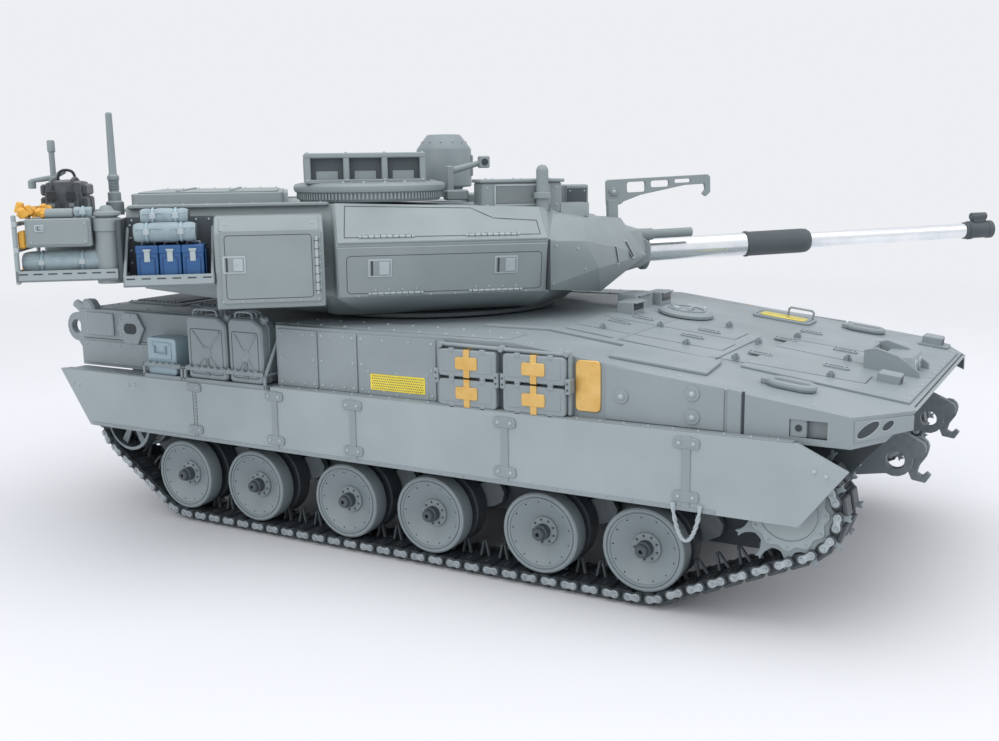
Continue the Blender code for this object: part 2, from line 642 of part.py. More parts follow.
def turret_shell():
    """The faceted turret: a wedge in front, ridged side modules and a long bustle."""
    rings = [
        turret_ring_points(TURRET_BASE_Z, [(72, 24, None), (46, 58, None), (-44, 66, None), (-58, 62, None),
                                           (-62, 54, None), (-68, 50, None), (-70, 20, None)]),
        turret_ring_points(130, [(88, 24, None), (46.7, SIDE_HALF - 6, None), (-58, SIDE_HALF - 6, None),
                                 (-59, BUSTLE_HALF, None), (-62, BUSTLE_HALF - 1, None),
                                 (-150, BUSTLE_HALF - 4, 136), (-152, 20, 136)]),
        turret_ring_points(144, [(121, 24, None), (46.7, SIDE_HALF - 2.8, None), (-58, SIDE_HALF - 2.8, None),
                                 (-59, BUSTLE_HALF, None), (-62, BUSTLE_HALF, None),
                                 (BUSTLE_X, BUSTLE_HALF, None), (BUSTLE_X, 20, None)]),
        turret_ring_points(156, [(118, 24, None), (46.7, SIDE_HALF, None), (-58, SIDE_HALF, None),
                                 (-59, BUSTLE_HALF, None), (-62, BUSTLE_HALF, None),
                                 (BUSTLE_X, BUSTLE_HALF, None), (BUSTLE_X, 20, None)]),
        turret_ring_points(ROOF_Z, [(72, 24, 171), (46.7, SIDE_HALF - 21, 171.5), (-58, SIDE_HALF - 19, None),
                                    (-59, BUSTLE_HALF - 4, None), (-62, BUSTLE_HALF - 4, None),
                                    (BUSTLE_X, BUSTLE_HALF - 4, None), (BUSTLE_X, 20, None)]),
    ]
    cheek = [(44, 1 - SIDE_HALF, 155.5), (44, 6 - SIDE_HALF, 131), (44, 23 - SIDE_HALF, 170), (44, -23, 168),
             (44, -23, 126), (69, 11 - SIDE_HALF, 154.5), (77, 16 - SIDE_HALF, 140), (84, 37 - SIDE_HALF, 125.5),
             (71, 27 - SIDE_HALF, 165), (103, -33, 163.5), (103, -23, 163.5), (118, -34, 142.6), (118, -23, 142.6),
             (90, -23, 127)]
    shell = fused(loft(rings), hulled(cheek), mirrored(hulled(cheek), -1))
    slot = box((62.0, 130.0), (-21.0, 21.0), (120.0, 185.0))
    hollow = prism([(-55, -60), (40, -60), (52, -26), (70, -26), (70, 26), (52, 26), (40, 60), (-55, 60)],
                   TURRET_BASE_Z - 10, ROOF_Z - 8, "XY")
    shell = cut(shell, slot, hollow)
    low_lid = box((BUSTLE_X + 3, CUPOLA_X - CUPOLA_R - 4.0), (-58.0, 58.0), (ROOF_Z - 1.0, ROOF_Z + 5.6))
    sight = box((22.0, 62.0), (-56.0, -34.0), (ROOF_Z - 6.0, ROOF_Z + 10.0))
    wiper_plate = box((62.5, 78.0), (-58.0, -34.0), (166.0, 173.0))
    return fused(shell, low_lid, sight, wiper_plate)


def turret_ring():
    """The turned ring that hangs the turret in the hull, with a geared lower lip."""
    top = TURRET_BASE_Z - GAP
    profile = [(RING_R + 9.0, top), (RING_R + 9.0, DECK_Z + 1.0), (RING_R - 4.8, DECK_Z + 1.0),
               (RING_R - 4.8, DECK_Z - 8.0), (RING_R - 10.0, DECK_Z - 8.0), (RING_R - 10.0, top)]
    return turned(profile, 36)


def storage_box():
    """The deep side bin between the module and the basket."""
    near, far = BUSTLE_HALF + GAP, SIDE_HALF + 0.5
    body = prism([(near, 130.0), (far - 1.0, 127.0), (far, 131.0), (far, 164.0), (far - 5.0, 169.0), (near, 169.0)],
                 0.0, 51.0, "XY")
    body.data.transform(Matrix(((0, 0, 1, STORAGE_REAR_X), (1, 0, 0, 0), (0, 1, 0, 0), (0, 0, 0, 1))))
    return body


def bustle_rack():
    """The open rack behind the bustle: two rails round a floor, with upright posts."""
    front, rear = BUSTLE_X - GAP, RACK_REAR_X
    half = SIDE_HALF - 4.0
    pieces = [box((rear, front - 2.0), (-half, half), (142.5, 144.5))]
    for z in (156.0, 168.0):
        pieces.append(box((rear, rear + 2.0), (-half, half), (z, z + 2.4)))
        for side in (-1, 1):
            pieces.append(box((rear, front), (side * half, side * (half - 2.0)), (z, z + 2.4)))
    for y in (-half + 1, -half / 3, half / 3, half - 1):
        pieces.append(box((rear, rear + 2.0), (y - 1.4, y + 1.4), (142.5, 170.4)))
    for side in (-1, 1):
        for x in (front - 2.6, rear + 24.0):
            pieces.append(box((x, x + 2.4), (side * half, side * (half - 2.0)), (142.5, 170.4)))
    pieces.append(box((front - 2.0, front), (-half, half), (142.5, 170.4)))
    pieces.append(box((rear + 1.0, rear + BIN_LENGTH), (15.5 - half, 53.0 - half), (143.5, BIN_TOP)))
    near, far = BUSTLE_HALF + GAP, SIDE_HALF + 1.4
    end = STORAGE_REAR_X - GAP
    for side in (-1, 1):
        pieces.append(box((front - 1.8, end), (side * near, side * far), (BASKET_Z - 2.0, BASKET_Z)))
        pieces.append(box((front - 1.9, front - 0.2), (side * near, side * (half - 0.4)), (BASKET_Z - 1.9, 143.2)))
        pieces.append(box((front - 1.7, end - 0.1), (side * (far - 1.9), side * (far - 0.1)), (153.5, 155.5)))
        for x in (front - 1.6, end - 2.2):
            pieces.append(box((x, x + 2.0), (side * (far - 2.0), side * (far - 0.2)), (BASKET_Z - 1.8, 155.4)))
    return fused(*pieces)


def mantlet():
    """The gun's shield, a block on trunnions with a bore for the barrel."""
    body = prism([(-19.0, -9.0), (-8.0, -14.0), (22.0, -11.0), (39.0, -6.0), (43.0, 0.0), (39.0, 8.5),
                  (12.0, 21.0), (-19.0, 21.0)], -18.0, 18.0)
    bore = rod((-30.0, 0.0, 0.0), (60.0, 0.0, 0.0), 7.6 + GAP, 20)
    coax = rod((30.0, -9.5, 10.0), (66.0, -9.5, 10.0), 2.8, 12)
    arm = box((2.0, 80.0), (2.0, 6.0), (24.5, 28.0))
    foot = box((2.0, 10.0), (1.0, 7.0), (18.0, 25.0))
    return fused(cut(body, bore), coax, arm, foot)


def gun_barrel():
    """The turned barrel with its fume extractor sleeve and muzzle collar."""
    length = (MUZZLE_X - TRUNNION_X) / math.cos(math.radians(STORED_ELEVATION))
    sleeve = 191.0 - TRUNNION_X
    profile = [(0.0, -8.0), (7.4, -8.0), (6.9, 50.0), (6.5, sleeve), (7.5, sleeve), (7.5, sleeve + 39.0),
               (6.0, sleeve + 42.5), (4.9, sleeve + 42.5), (4.5, length - 22.0), (5.8, length - 22.0),
               (5.8, length - 19.0), (5.2, length - 19.0), (5.2, length), (3.2, length), (3.2, length - 20.0),
               (0.0, length - 20.0)]
    barrel = turned([(r, h) for r, h in profile], 20)
    barrel.data.transform(Matrix.Rotation(math.pi / 2, 4, "Y"))
    reference = fused(box((length - 12.0, length - 2.0), (-2.2, 2.2), (4.0, 7.0)),
                      rod((length - 13.0, 0, 8.2), (length - 1.0, 0, 8.2), 2.6, 12))
    return fused(barrel, reference)


def cupola():
    """A toothed ring with a hatch and an armoured-glass shield on it."""
    low = ROOF_Z + GAP
    ring = turned([(CUPOLA_R - 7.0, low + 5.5), (CUPOLA_R - 2.0, low + 6.5), (CUPOLA_R, low + 4.5), (CUPOLA_R, low),
                   (CUPOLA_R - 7.0, low)], 32, "Z", (CUPOLA_X, CUPOLA_Y, 0))
    lid = turned([(0.0, low + 8.0), (26.0, low + 7.0), (CUPOLA_R - 6.0, low + 5.0), (CUPOLA_R - 6.0, low + 1.0),
                  (0.0, low + 1.0)], 24, "Z", (CUPOLA_X, CUPOLA_Y, 0))
    walls = [box((CUPOLA_X - 33, CUPOLA_X + 33), (CUPOLA_Y - 24.5, CUPOLA_Y - 21.0), (low + 4.0, 202.5)),
             box((CUPOLA_X - 33, CUPOLA_X + 33), (CUPOLA_Y + 21.0, CUPOLA_Y + 24.5), (low + 4.0, 202.5)),
             box((CUPOLA_X - 33, CUPOLA_X - 30), (CUPOLA_Y - 23, CUPOLA_Y + 23), (low + 4.0, 202.5))]
    return fused(ring, lid, *walls)


def sensor_drum():
    """A panoramic sight: a drum on a short neck with a cone on top."""
    low = ROOF_Z + GAP
    drum = turned([(0.0, 210.0), (5.0, 209.6), (SENSOR_R - 1.0, 204.5), (SENSOR_R, 203.0), (SENSOR_R, 185.0),
                   (SENSOR_R - 3.0, 182.5), (SENSOR_R - 3.0, low), (0.0, low)], 24, "Z", (SENSOR_X, SENSOR_Y, 0))
    return drum


def antenna_mast():
    """A sprung aerial base with its mast."""
    return turned([(0.0, 214.0), (1.3, 214.0), (1.6, 190.0), (3.4, 188.0), (3.4, 183.5), (2.2, 182.0),
                   (2.2, 178.0), (4.2, 176.0), (4.2, 171.0), (0.0, 171.0)], 12, "Z",
                  (BUSTLE_X - 8.0, 12.0 - SIDE_HALF, 0.0))


finish("turret_shell", turret_shell(), turret, PALE, 0.5)
finish("turret_ring", turret_ring(), turret, GREY, 0.5, 0.0, smooth=True)
finish("storage_box", mirrored(storage_box(), -1), turret, PALE, 0.5)
finish("bustle_rack", bustle_rack(), turret, GREY, 0.5)
finish("mantlet", mantlet(), gun, GREY, 0.5)
finish("gun_barrel", gun_barrel(), gun, BRIGHT, 0.25, 1.0, smooth=True)
finish("cupola", cupola(), turret, PALE, 0.5, 0.0, (CUPOLA_X, CUPOLA_Y, ROOF_Z))
finish("sensor_drum", sensor_drum(), turret, GREY, 0.5, 0.0, (SENSOR_X, SENSOR_Y, ROOF_Z), smooth=True)
finish("antenna_mast", antenna_mast(), turret, GREY, 0.5, 0.0, smooth=True)


# ---------------------------------------------------------------- turret stowage

def roll(low_x, high_x, y, z, radius):
    """A rolled sheet: a round bar with softened ends."""
    bar = turned([(0.0, 0.0), (radius * 0.8, 0.0), (radius, 2.0), (radius, high_x - low_x - 2.0),
                  (radius * 0.8, high_x - low_x), (0.0, high_x - low_x)], 14)
    bar.data.transform(Matrix.Rotation(math.pi / 2, 4, "Y"))
    return shifted(bar, (low_x, y, z))


finish("tarp_roll", roll(RACK_REAR_X + 3.0, BUSTLE_X - 8.0, -(SIDE_HALF - 12.6), 151.2, 6.2), turret, CANVAS, 0.9,
       smooth=True)
load_low = BASKET_Z + GAP
load_rear, load_front = BUSTLE_X + 5.0, STORAGE_REAR_X - 4.0
load = prism([(load_rear, load_low), (load_front, load_low), (load_front, 170.0), (load_front - 4.0, 175.0),
              (load_rear + 4.0, 175.0), (load_rear, 170.0)], -SIDE_HALF + 1.4, -BUSTLE_HALF - GAP)
finish("basket_load", load, turret, BLUE, 0.9)
pack_low = BIN_TOP + GAP
pack_rear = RACK_REAR_X + 9.0
bag = prism([(pack_rear + 1.0, pack_low), (pack_rear + 20.0, pack_low), (pack_rear + 21.0, 182.0),
             (pack_rear + 17.0, 190.0), (pack_rear + 4.0, 190.0), (pack_rear, 182.0)],
            23.0 - SIDE_HALF, 51.0 - SIDE_HALF)
finish("backpack", bag, turret, CARBON, 0.9)
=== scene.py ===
import json
import math
import random

import bmesh
import bpy
from mathutils import Matrix, Vector
from mathutils.bvhtree import BVHTree


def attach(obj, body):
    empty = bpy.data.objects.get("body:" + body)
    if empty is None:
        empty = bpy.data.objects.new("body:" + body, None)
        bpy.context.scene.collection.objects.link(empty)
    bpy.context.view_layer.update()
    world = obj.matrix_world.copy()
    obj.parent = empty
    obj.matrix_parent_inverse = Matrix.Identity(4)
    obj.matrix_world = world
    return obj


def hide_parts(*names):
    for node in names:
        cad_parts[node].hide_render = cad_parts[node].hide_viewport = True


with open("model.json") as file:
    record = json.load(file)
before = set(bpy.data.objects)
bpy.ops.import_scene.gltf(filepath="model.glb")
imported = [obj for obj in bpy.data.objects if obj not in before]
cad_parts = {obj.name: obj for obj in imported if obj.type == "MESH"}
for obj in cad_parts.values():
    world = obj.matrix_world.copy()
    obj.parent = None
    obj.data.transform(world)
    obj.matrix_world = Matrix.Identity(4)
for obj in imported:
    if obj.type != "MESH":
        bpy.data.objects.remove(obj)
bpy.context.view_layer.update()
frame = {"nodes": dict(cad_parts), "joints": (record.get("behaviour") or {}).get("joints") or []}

joints = {joint["name"]: joint for joint in frame["joints"]}

# Shapes are drawn in millimetres, in the hull's, the turret's or the gun's own frame,
# and these three matrices carry them into the model's frame.
millimetre = 0.001
ringCentre = joints["turret_traverse"]["pos_m"]
trunnion = Vector(joints["gun_elevation"]["pos_m"])
trunnionAxis = joints["gun_elevation"]["axis"]
storedTraverse = math.atan2(trunnionAxis[0], -trunnionAxis[1])
storedElevation = math.asin(joints["gun_recoil"]["axis"][2])
hullSpace = Matrix.Translation((ringCentre[0], ringCentre[1], 0.0)) @ Matrix.Scale(millimetre, 4)
turretTurn = Matrix.Rotation(storedTraverse, 4, "Z")
turretSpace = hullSpace @ turretTurn
gunSpace = (Matrix.Translation(trunnion) @ turretTurn @ Matrix.Rotation(-storedElevation, 4, "Y")
            @ Matrix.Scale(millimetre, 4))
sides = (("right", -1), ("left", 1))  # the left side is the right one mirrored


def hullPoint(joint):
    return hullSpace.inverted() @ Vector(joints[joint]["pos_m"])


def srgb(code):
    channels = [int(code[i:i + 2], 16) / 255 for i in (1, 3, 5)]
    linear = [c / 12.92 if c <= 0.04045 else ((c + 0.055) / 1.055) ** 2.4 for c in channels]
    return (*linear, 1.0)


def addNode(tree, kind, settings=None, links=None):
    node = tree.nodes.new(kind)
    for key, value in (settings or {}).items():
        if isinstance(key, int) or key in node.inputs:
            node.inputs[key].default_value = value
        else:
            setattr(node, key, value)
    for key, source in (links or {}).items():
        tree.links.new(source, node.inputs[key])
    return node


def startMaterial(name):
    material = bpy.data.materials.new(name)
    material.use_nodes = True
    tree = material.node_tree
    shader = tree.nodes["Principled BSDF"]
    place = addNode(tree, "ShaderNodeTexCoord").outputs["Object"]
    return material, tree, shader, place


def mixedColour(tree, factor, first, second):
    mix = addNode(tree, "ShaderNodeMix", {"data_type": "RGBA"})
    mix.inputs[6].default_value = srgb(first)
    mix.inputs[7].default_value = srgb(second)
    tree.links.new(factor, mix.inputs[0])
    return mix.outputs[2]


def rangeOf(tree, source, low, high, fromLow=0.3, fromHigh=0.7):
    return addNode(tree, "ShaderNodeMapRange",
                   {"From Min": fromLow, "From Max": fromHigh, "To Min": low, "To Max": high},
                   {"Value": source}).outputs["Result"]


def bumpFrom(tree, shader, height, distance, strength=1.0, under=None):
    links = {"Height": height}
    if under is not None:
        links["Normal"] = under
    bump = addNode(tree, "ShaderNodeBump", {"Distance": distance, "Strength": strength}, links)
    tree.links.new(bump.outputs["Normal"], shader.inputs["Normal"])
    return bump.outputs["Normal"]


# Unpainted injection-moulded polystyrene: a satin skin, faint flow clouding left by the gate,
# and a very fine tool grain that softens the highlights.
def styrene(name, base, cloud, roughness=0.48, grain=0.00035, depth=0.000012):
    material, tree, shader, place = startMaterial(name)
    flow = addNode(tree, "ShaderNodeTexNoise", {"Scale": 28.0, "Detail": 3.0, "Roughness": 0.55},
                   {"Vector": place})
    colour = mixedColour(tree, rangeOf(tree, flow.outputs["Fac"], 0.0, 1.0), base, cloud)
    tree.links.new(colour, shader.inputs["Base Color"])
    speck = addNode(tree, "ShaderNodeTexNoise", {"Scale": 1.0 / grain / 4, "Detail": 2.0}, {"Vector": place})
    rough = rangeOf(tree, flow.outputs["Fac"], roughness - 0.05, roughness + 0.06)
    tree.links.new(rough, shader.inputs["Roughness"])
    shader.inputs["IOR"].default_value = 1.55
    shader.inputs["Specular IOR Level"].default_value = 0.42
    bumpFrom(tree, shader, speck.outputs["Fac"], depth, 0.6)
    return material


# Cast or blackened metal parts: slightly rough, with a mottled metallic skin.
def castMetal(name, base, cloud, metallic, roughness, grain=0.0009, depth=0.00006):
    material, tree, shader, place = startMaterial(name)
    mottle = addNode(tree, "ShaderNodeTexNoise", {"Scale": 1.0 / grain / 3, "Detail": 4.0}, {"Vector": place})
    colour = mixedColour(tree, rangeOf(tree, mottle.outputs["Fac"], 0.0, 1.0), base, cloud)
    tree.links.new(colour, shader.inputs["Base Color"])
    rough = rangeOf(tree, mottle.outputs["Fac"], roughness - 0.08, roughness + 0.1)
    tree.links.new(rough, shader.inputs["Roughness"])
    shader.inputs["Metallic"].default_value = metallic
    bumpFrom(tree, shader, mottle.outputs["Fac"], depth, 0.7)
    return material


# Turned aluminium: fine rings cut by the lathe tool, drawn 0.5 mm apart so that they show.
def turnedAluminium(name, axis):
    material, tree, shader, place = startMaterial(name)
    turn = Vector(axis).to_track_quat("Z", "Y").to_matrix().inverted().to_euler()
    along = addNode(tree, "ShaderNodeMapping", {"Rotation": turn}, {"Vector": place})
    ringSpacing = 0.0005
    rings = addNode(tree, "ShaderNodeTexWave",
                    {"wave_type": "BANDS", "bands_direction": "Z", "Scale": 1.0 / ringSpacing / 20,
                     "Distortion": 0.3}, {"Vector": along.outputs["Vector"]})
    haze = addNode(tree, "ShaderNodeTexNoise", {"Scale": 60.0, "Detail": 3.0}, {"Vector": place})
    colour = mixedColour(tree, rangeOf(tree, haze.outputs["Fac"], 0.0, 1.0), "#f2f4f6", "#dfe3e7")
    tree.links.new(colour, shader.inputs["Base Color"])
    tree.links.new(rangeOf(tree, haze.outputs["Fac"], 0.2, 0.32), shader.inputs["Roughness"])
    shader.inputs["Metallic"].default_value = 1.0
    bumpFrom(tree, shader, rings.outputs["Fac"], 0.000006, 0.5)
    return material


# Photo-etched brass sheet: flat, bright, with a faint brushed haze from the fret.
def etchedBrass(name, base, cloud):
    material, tree, shader, place = startMaterial(name)
    haze = addNode(tree, "ShaderNodeTexNoise", {"Scale": 180.0, "Detail": 4.0}, {"Vector": place})
    colour = mixedColour(tree, rangeOf(tree, haze.outputs["Fac"], 0.0, 1.0), base, cloud)
    tree.links.new(colour, shader.inputs["Base Color"])
    shader.inputs["Metallic"].default_value = 0.85
    tree.links.new(rangeOf(tree, haze.outputs["Fac"], 0.3, 0.42), shader.inputs["Roughness"])
    bumpFrom(tree, shader, haze.outputs["Fac"], 0.00001, 0.5)
    return material


# Woven or cast cloth: a crossed thread pattern over soft folds.
def cloth(name, base, cloud, threadSpacing, roughness, depth):
    material, tree, shader, place = startMaterial(name)
    folds = addNode(tree, "ShaderNodeTexNoise", {"Scale": 150.0, "Detail": 5.0, "Roughness": 0.6},
                    {"Vector": place})
    colour = mixedColour(tree, rangeOf(tree, folds.outputs["Fac"], 0.0, 1.0), base, cloud)
    tree.links.new(colour, shader.inputs["Base Color"])
    waves = []
    for direction in ("X", "Z"):
        wave = addNode(tree, "ShaderNodeTexWave",
                       {"wave_type": "BANDS", "bands_direction": direction, "Scale": 1.0 / threadSpacing / 20,
                        "Distortion": 0.6}, {"Vector": place})
        waves.append(wave.outputs["Fac"])
    weave = addNode(tree, "ShaderNodeMath", {"operation": "MULTIPLY"})
    tree.links.new(waves[0], weave.inputs[0])
    tree.links.new(waves[1], weave.inputs[1])
    shader.inputs["Roughness"].default_value = roughness
    shader.inputs["Sheen Weight"].default_value = 0.25
    shader.inputs["Sheen Roughness"].default_value = 0.5
    first = bumpFrom(tree, shader, weave.outputs["Value"], depth, 0.5)
    bumpFrom(tree, shader, folds.outputs["Fac"], depth * 6, 0.6, first)
    return material


# Clear moulded polystyrene: the vision blocks and lenses.
def clearStyrene(name, tint):
    material, tree, shader, place = startMaterial(name)
    ripple = addNode(tree, "ShaderNodeTexNoise", {"Scale": 90.0, "Detail": 2.0}, {"Vector": place})
    shader.inputs["Base Color"].default_value = srgb(tint)
    shader.inputs["Transmission Weight"].default_value = 0.85
    shader.inputs["IOR"].default_value = 1.59
    tree.links.new(rangeOf(tree, ripple.outputs["Fac"], 0.04, 0.12), shader.inputs["Roughness"])
    bumpFrom(tree, shader, ripple.outputs["Fac"], 0.00003, 0.4)
    return material


# Solder mask over copper tracks, 1.2 mm apart.
def circuitBoard(name):
    material, tree, shader, place = startMaterial(name)
    cells = addNode(tree, "ShaderNodeTexBrick",
                    {"Scale": 1.0, "Brick Width": 0.0048, "Row Height": 0.0012, "Mortar Size": 0.00025},
                    {"Vector": place})
    cells.inputs["Color1"].default_value = srgb("#12502a")
    cells.inputs["Color2"].default_value = srgb("#0f4424")
    cells.inputs["Mortar"].default_value = srgb("#2f7d45")
    tree.links.new(cells.outputs["Color"], shader.inputs["Base Color"])
    shader.inputs["Roughness"].default_value = 0.3
    bumpFrom(tree, shader, cells.outputs["Fac"], 0.00005, 0.5)
    return material


hullGrey = styrene("hullStyrene", "#8a9498", "#828c90")
panelGrey = styrene("panelStyrene", "#98a3a6", "#909b9e", 0.5)
turretGrey = styrene("turretStyrene", "#8a9496", "#838d8f", 0.5)
wheelGrey = styrene("wheelStyrene", "#848f93", "#7b868a", 0.42)
# darker tyre grey: the rubber colour of the track pads, and a painted shade on the road wheels' inboard disc, on
# the gap between their two discs and on the idler rims' inward sides
rubberAndShadeGrey = styrene("rubberAndShadeStyrene", "#4b5256", "#42494d", 0.5)
shadeGrey = styrene("shadeStyrene", "#4d5559", "#454d51", 0.6)
seamDark = styrene("seamShadow", "#3a4145", "#343b3f", 0.8)
# a lighter grey for bolt heads, hinges, latch frames, slot rims and buckles: a painted highlight on small raised
# parts
smallPartHighlightGrey = styrene("smallPartHighlightStyrene", "#a9b3b7", "#a0abaf", 0.4)
lightBlueBox = styrene("paleBlueResin", "#9cb1ba", "#90a6b0", 0.45)
trackBlack = castMetal("blackenedLink", "#31363a", "#3f4549", 0.35, 0.5)
linkSteel = castMetal("polishedConnector", "#b4bcc0", "#8f989c", 0.6, 0.36)
hookGrey = castMetal("hookResin", "#737c80", "#697276", 0.05, 0.5)
gearMetal = castMetal("zincCasting", "#9a9ea1", "#85898c", 0.85, 0.42)
aluminium = turnedAluminium("turnedAluminium", joints["gun_recoil"]["axis"])
brass = etchedBrass("etchedBrass", "#dfba78", "#d3aa60")
yellowMesh = etchedBrass("yellowMesh", "#ecd95e", "#dfcb4c")
orangeResin = styrene("orangeResin", "#dba744", "#cf9a38", 0.45)
canvas = cloth("castCanvas", "#94a4aa", "#7e8f96", 0.0006, 0.75, 0.00004)
packCloth = cloth("packNylon", "#4a5054", "#3c4246", 0.0008, 0.8, 0.00008)
ammoBlue = styrene("ammoBlueResin", "#2b5a8c", "#255080", 0.42)
glass = clearStyrene("clearStyrene", "#dfe8ea")
# dark gloss: the own colour of lenses and periscope faces, and a painted shade in the pocket at the road wheels'
# hub
lensAndHollowShadeDark = styrene("lensAndHollowShadeGloss", "#1b2226", "#161c20", 0.12)
batteryWrap = styrene("shrinkWrap", "#233a78", "#1e3269", 0.25)
boardGreen = circuitBoard("circuitBoard")
switchBlack = styrene("switchNylon", "#1d1f21", "#17191b", 0.45)
print("materials ready")


def pour(target, part, place=None):
    # joins a finished shape to the target, moved into place
    if place is not None:
        bmesh.ops.transform(part, matrix=place, verts=part.verts)
    mesh = bpy.data.meshes.new("part")
    part.to_mesh(mesh)
    part.free()
    target.from_mesh(mesh)
    bpy.data.meshes.remove(mesh)


def merge(target, part, paint=0, place=None):
    for face in part.faces:
        face.material_index = paint
    pour(target, part, place)


def soften(part, width, segments=1, minAngle=25):
    if width <= 0:
        return
    edges = [e for e in part.edges if len(e.link_faces) == 2 and e.calc_face_angle() > math.radians(minAngle)]
    bmesh.ops.bevel(part, geom=edges, offset=width, offset_type="OFFSET", segments=segments, profile=0.5,
                    affect="EDGES", clamp_overlap=True, material=-1)


def block(target, x, y, z, bevel=0.25, paint=0, place=None):
    part = bmesh.new()
    size = Vector((x[1] - x[0], y[1] - y[0], z[1] - z[0]))
    middle = Vector((x[0] + x[1], y[0] + y[1], z[0] + z[1])) / 2
    bmesh.ops.create_cube(part, size=1.0, matrix=Matrix.Translation(middle) @ Matrix.Diagonal(size).to_4x4())
    soften(part, bevel)
    merge(target, part, paint, place)


def rod(target, start, end, radius, endRadius=None, sides=16, bevel=0.0, paint=0, place=None):
    part = bmesh.new()
    a, b = Vector(start), Vector(end)
    turn = (b - a).to_track_quat("Z", "Y").to_matrix().to_4x4()
    bmesh.ops.create_cone(part, cap_ends=True, segments=sides, radius1=radius,
                          radius2=radius if endRadius is None else endRadius,
                          depth=(b - a).length, matrix=Matrix.Translation((a + b) / 2) @ turn)
    soften(part, bevel, 1, 50)
    merge(target, part, paint, place)


# plane says which two directions the outline is drawn in; it is pushed along the third
def slab(target, outline, low, high, plane="XY", bevel=0.0, paint=0, place=None):
    part = bmesh.new()
    spots = {"XY": lambda u, v: (u, v, low), "XZ": lambda u, v: (u, low, v), "YZ": lambda u,
             v: (low, u, v)}[plane]
    push = {"XY": (0, 0, high - low), "XZ": (0, high - low, 0), "YZ": (high - low, 0, 0)}[plane]
    verts = [part.verts.new(spots(u, v)) for u, v in outline]
    face = part.faces.new(verts)
    grown = bmesh.ops.extrude_face_region(part, geom=[face])
    moved = [item for item in grown["geom"] if isinstance(item, bmesh.types.BMVert)]
    bmesh.ops.translate(part, verts=moved, vec=push)
    bmesh.ops.recalc_face_normals(part, faces=part.faces)
    soften(part, bevel)
    merge(target, part, paint, place)


# a profile of (radius, height) turned about Z; paints gives one material number for each span
def lathe(target, profile, steps=32, paints=None, place=None, paint=0):
    part = bmesh.new()
    verts = [part.verts.new((r, 0.0, h)) for r, h in profile]
    edges = [part.edges.new(pair) for pair in zip(verts, verts[1:])]
    bmesh.ops.spin(part, geom=verts + edges, cent=(0, 0, 0), axis=(0, 0, 1), angle=math.tau, steps=steps,
                   use_merge=True)
    bmesh.ops.remove_doubles(part, verts=part.verts, dist=0.0005)
    bmesh.ops.recalc_face_normals(part, faces=part.faces)
    spans = list(zip(profile, profile[1:]))
    for face in part.faces:
        face.material_index = paint
        if paints:
            height = sum(v.co.z for v in face.verts) / len(face.verts)
            radius = sum(math.hypot(v.co.x, v.co.y) for v in face.verts) / len(face.verts)
            best = min(range(len(spans)),
                       key=lambda i: math.hypot((spans[i][0][0] + spans[i][1][0]) / 2 - radius,
                                                                   (spans[i][0][1] + spans[i][1][1]) / 2 - height))
            face.material_index = paints[best]
    pour(target, part, place)


# a round bar along points, its corners softened by a smooth curve when smooth is set
def wire(target, points, radius, sides=3, smooth=False, closed=False, paint=0, place=None, steps=4):
    curve = bpy.data.curves.new("wire", "CURVE")
    curve.dimensions = "3D"
    curve.bevel_depth = radius
    curve.bevel_resolution = sides
    curve.use_fill_caps = True
    curve.resolution_u = steps
    spline = curve.splines.new("NURBS" if smooth else "POLY")
    spline.points.add(len(points) - 1)
    for spot, point in zip(spline.points, points):
        spot.co = (*point, 1.0)
    spline.use_cyclic_u = closed
    if smooth:
        spline.order_u = 3
        spline.use_endpoint_u = True
    guide = bpy.data.objects.new("wire", curve)
    bpy.context.collection.objects.link(guide)
    mesh = bpy.data.meshes.new_from_object(guide.evaluated_get(bpy.context.evaluated_depsgraph_get()))
    part = bmesh.new()
    part.from_mesh(mesh)
    bmesh.ops.remove_doubles(part, verts=part.verts, dist=0.001)
    bmesh.ops.recalc_face_normals(part, faces=part.faces)
    bpy.data.objects.remove(guide, do_unlink=True)
    bpy.data.curves.remove(curve)
    bpy.data.meshes.remove(mesh)
    merge(target, part, paint, place)


# a domed rivet or bolt head of few faces, standing on a face along the normal
def bolt(target, at, normal=(0, 0, 1), radius=0.75, height=0.5, sides=8, paint=0, place=None):
    base = Vector(at)
    out = Vector(normal).normalized()
    rod(target, base - out * 0.1, base + out * height * 0.55, radius, radius * 0.95, sides, 0, paint, place)
    rod(target, base + out * height * 0.5, base + out * height, radius * 0.95, radius * 0.5, sides, 0, paint,
        place)


def rounded(x0, x1, y0, y1, radius, steps=3):
    points = []
    for cx, cy, start in ((x1 - radius, y1 - radius, 0), (x0 + radius, y1 - radius, 90),
                          (x0 + radius, y0 + radius, 180), (x1 - radius, y0 + radius, 270)):
        for i in range(steps + 1):
            angle = math.radians(start + 90 * i / steps)
            points.append((cx + radius * math.cos(angle), cy + radius * math.sin(angle)))
    return points


def ring(radius, count, start=0.0, centre=(0.0, 0.0)):
    return [(centre[0] + radius * math.cos(start + math.tau * i / count),
             centre[1] + radius * math.sin(start + math.tau * i / count)) for i in range(count)]


# a thin line that reads as the gap round a door: the outline's own band, inset by its width
def seamLoop(target, outline, level=0.06, width=0.32, paint=1, place=None):
    part = bmesh.new()
    part.faces.new([part.verts.new((u, v, level)) for u, v in outline])
    part.normal_update()
    if part.faces[:][0].normal.z < 0:
        bmesh.ops.reverse_faces(part, faces=part.faces)
    inner = list(part.faces)
    bmesh.ops.inset_region(part, faces=inner, thickness=width, use_boundary=True, use_even_offset=True)
    bmesh.ops.delete(part, geom=inner, context="FACES_ONLY")
    merge(target, part, paint, place)


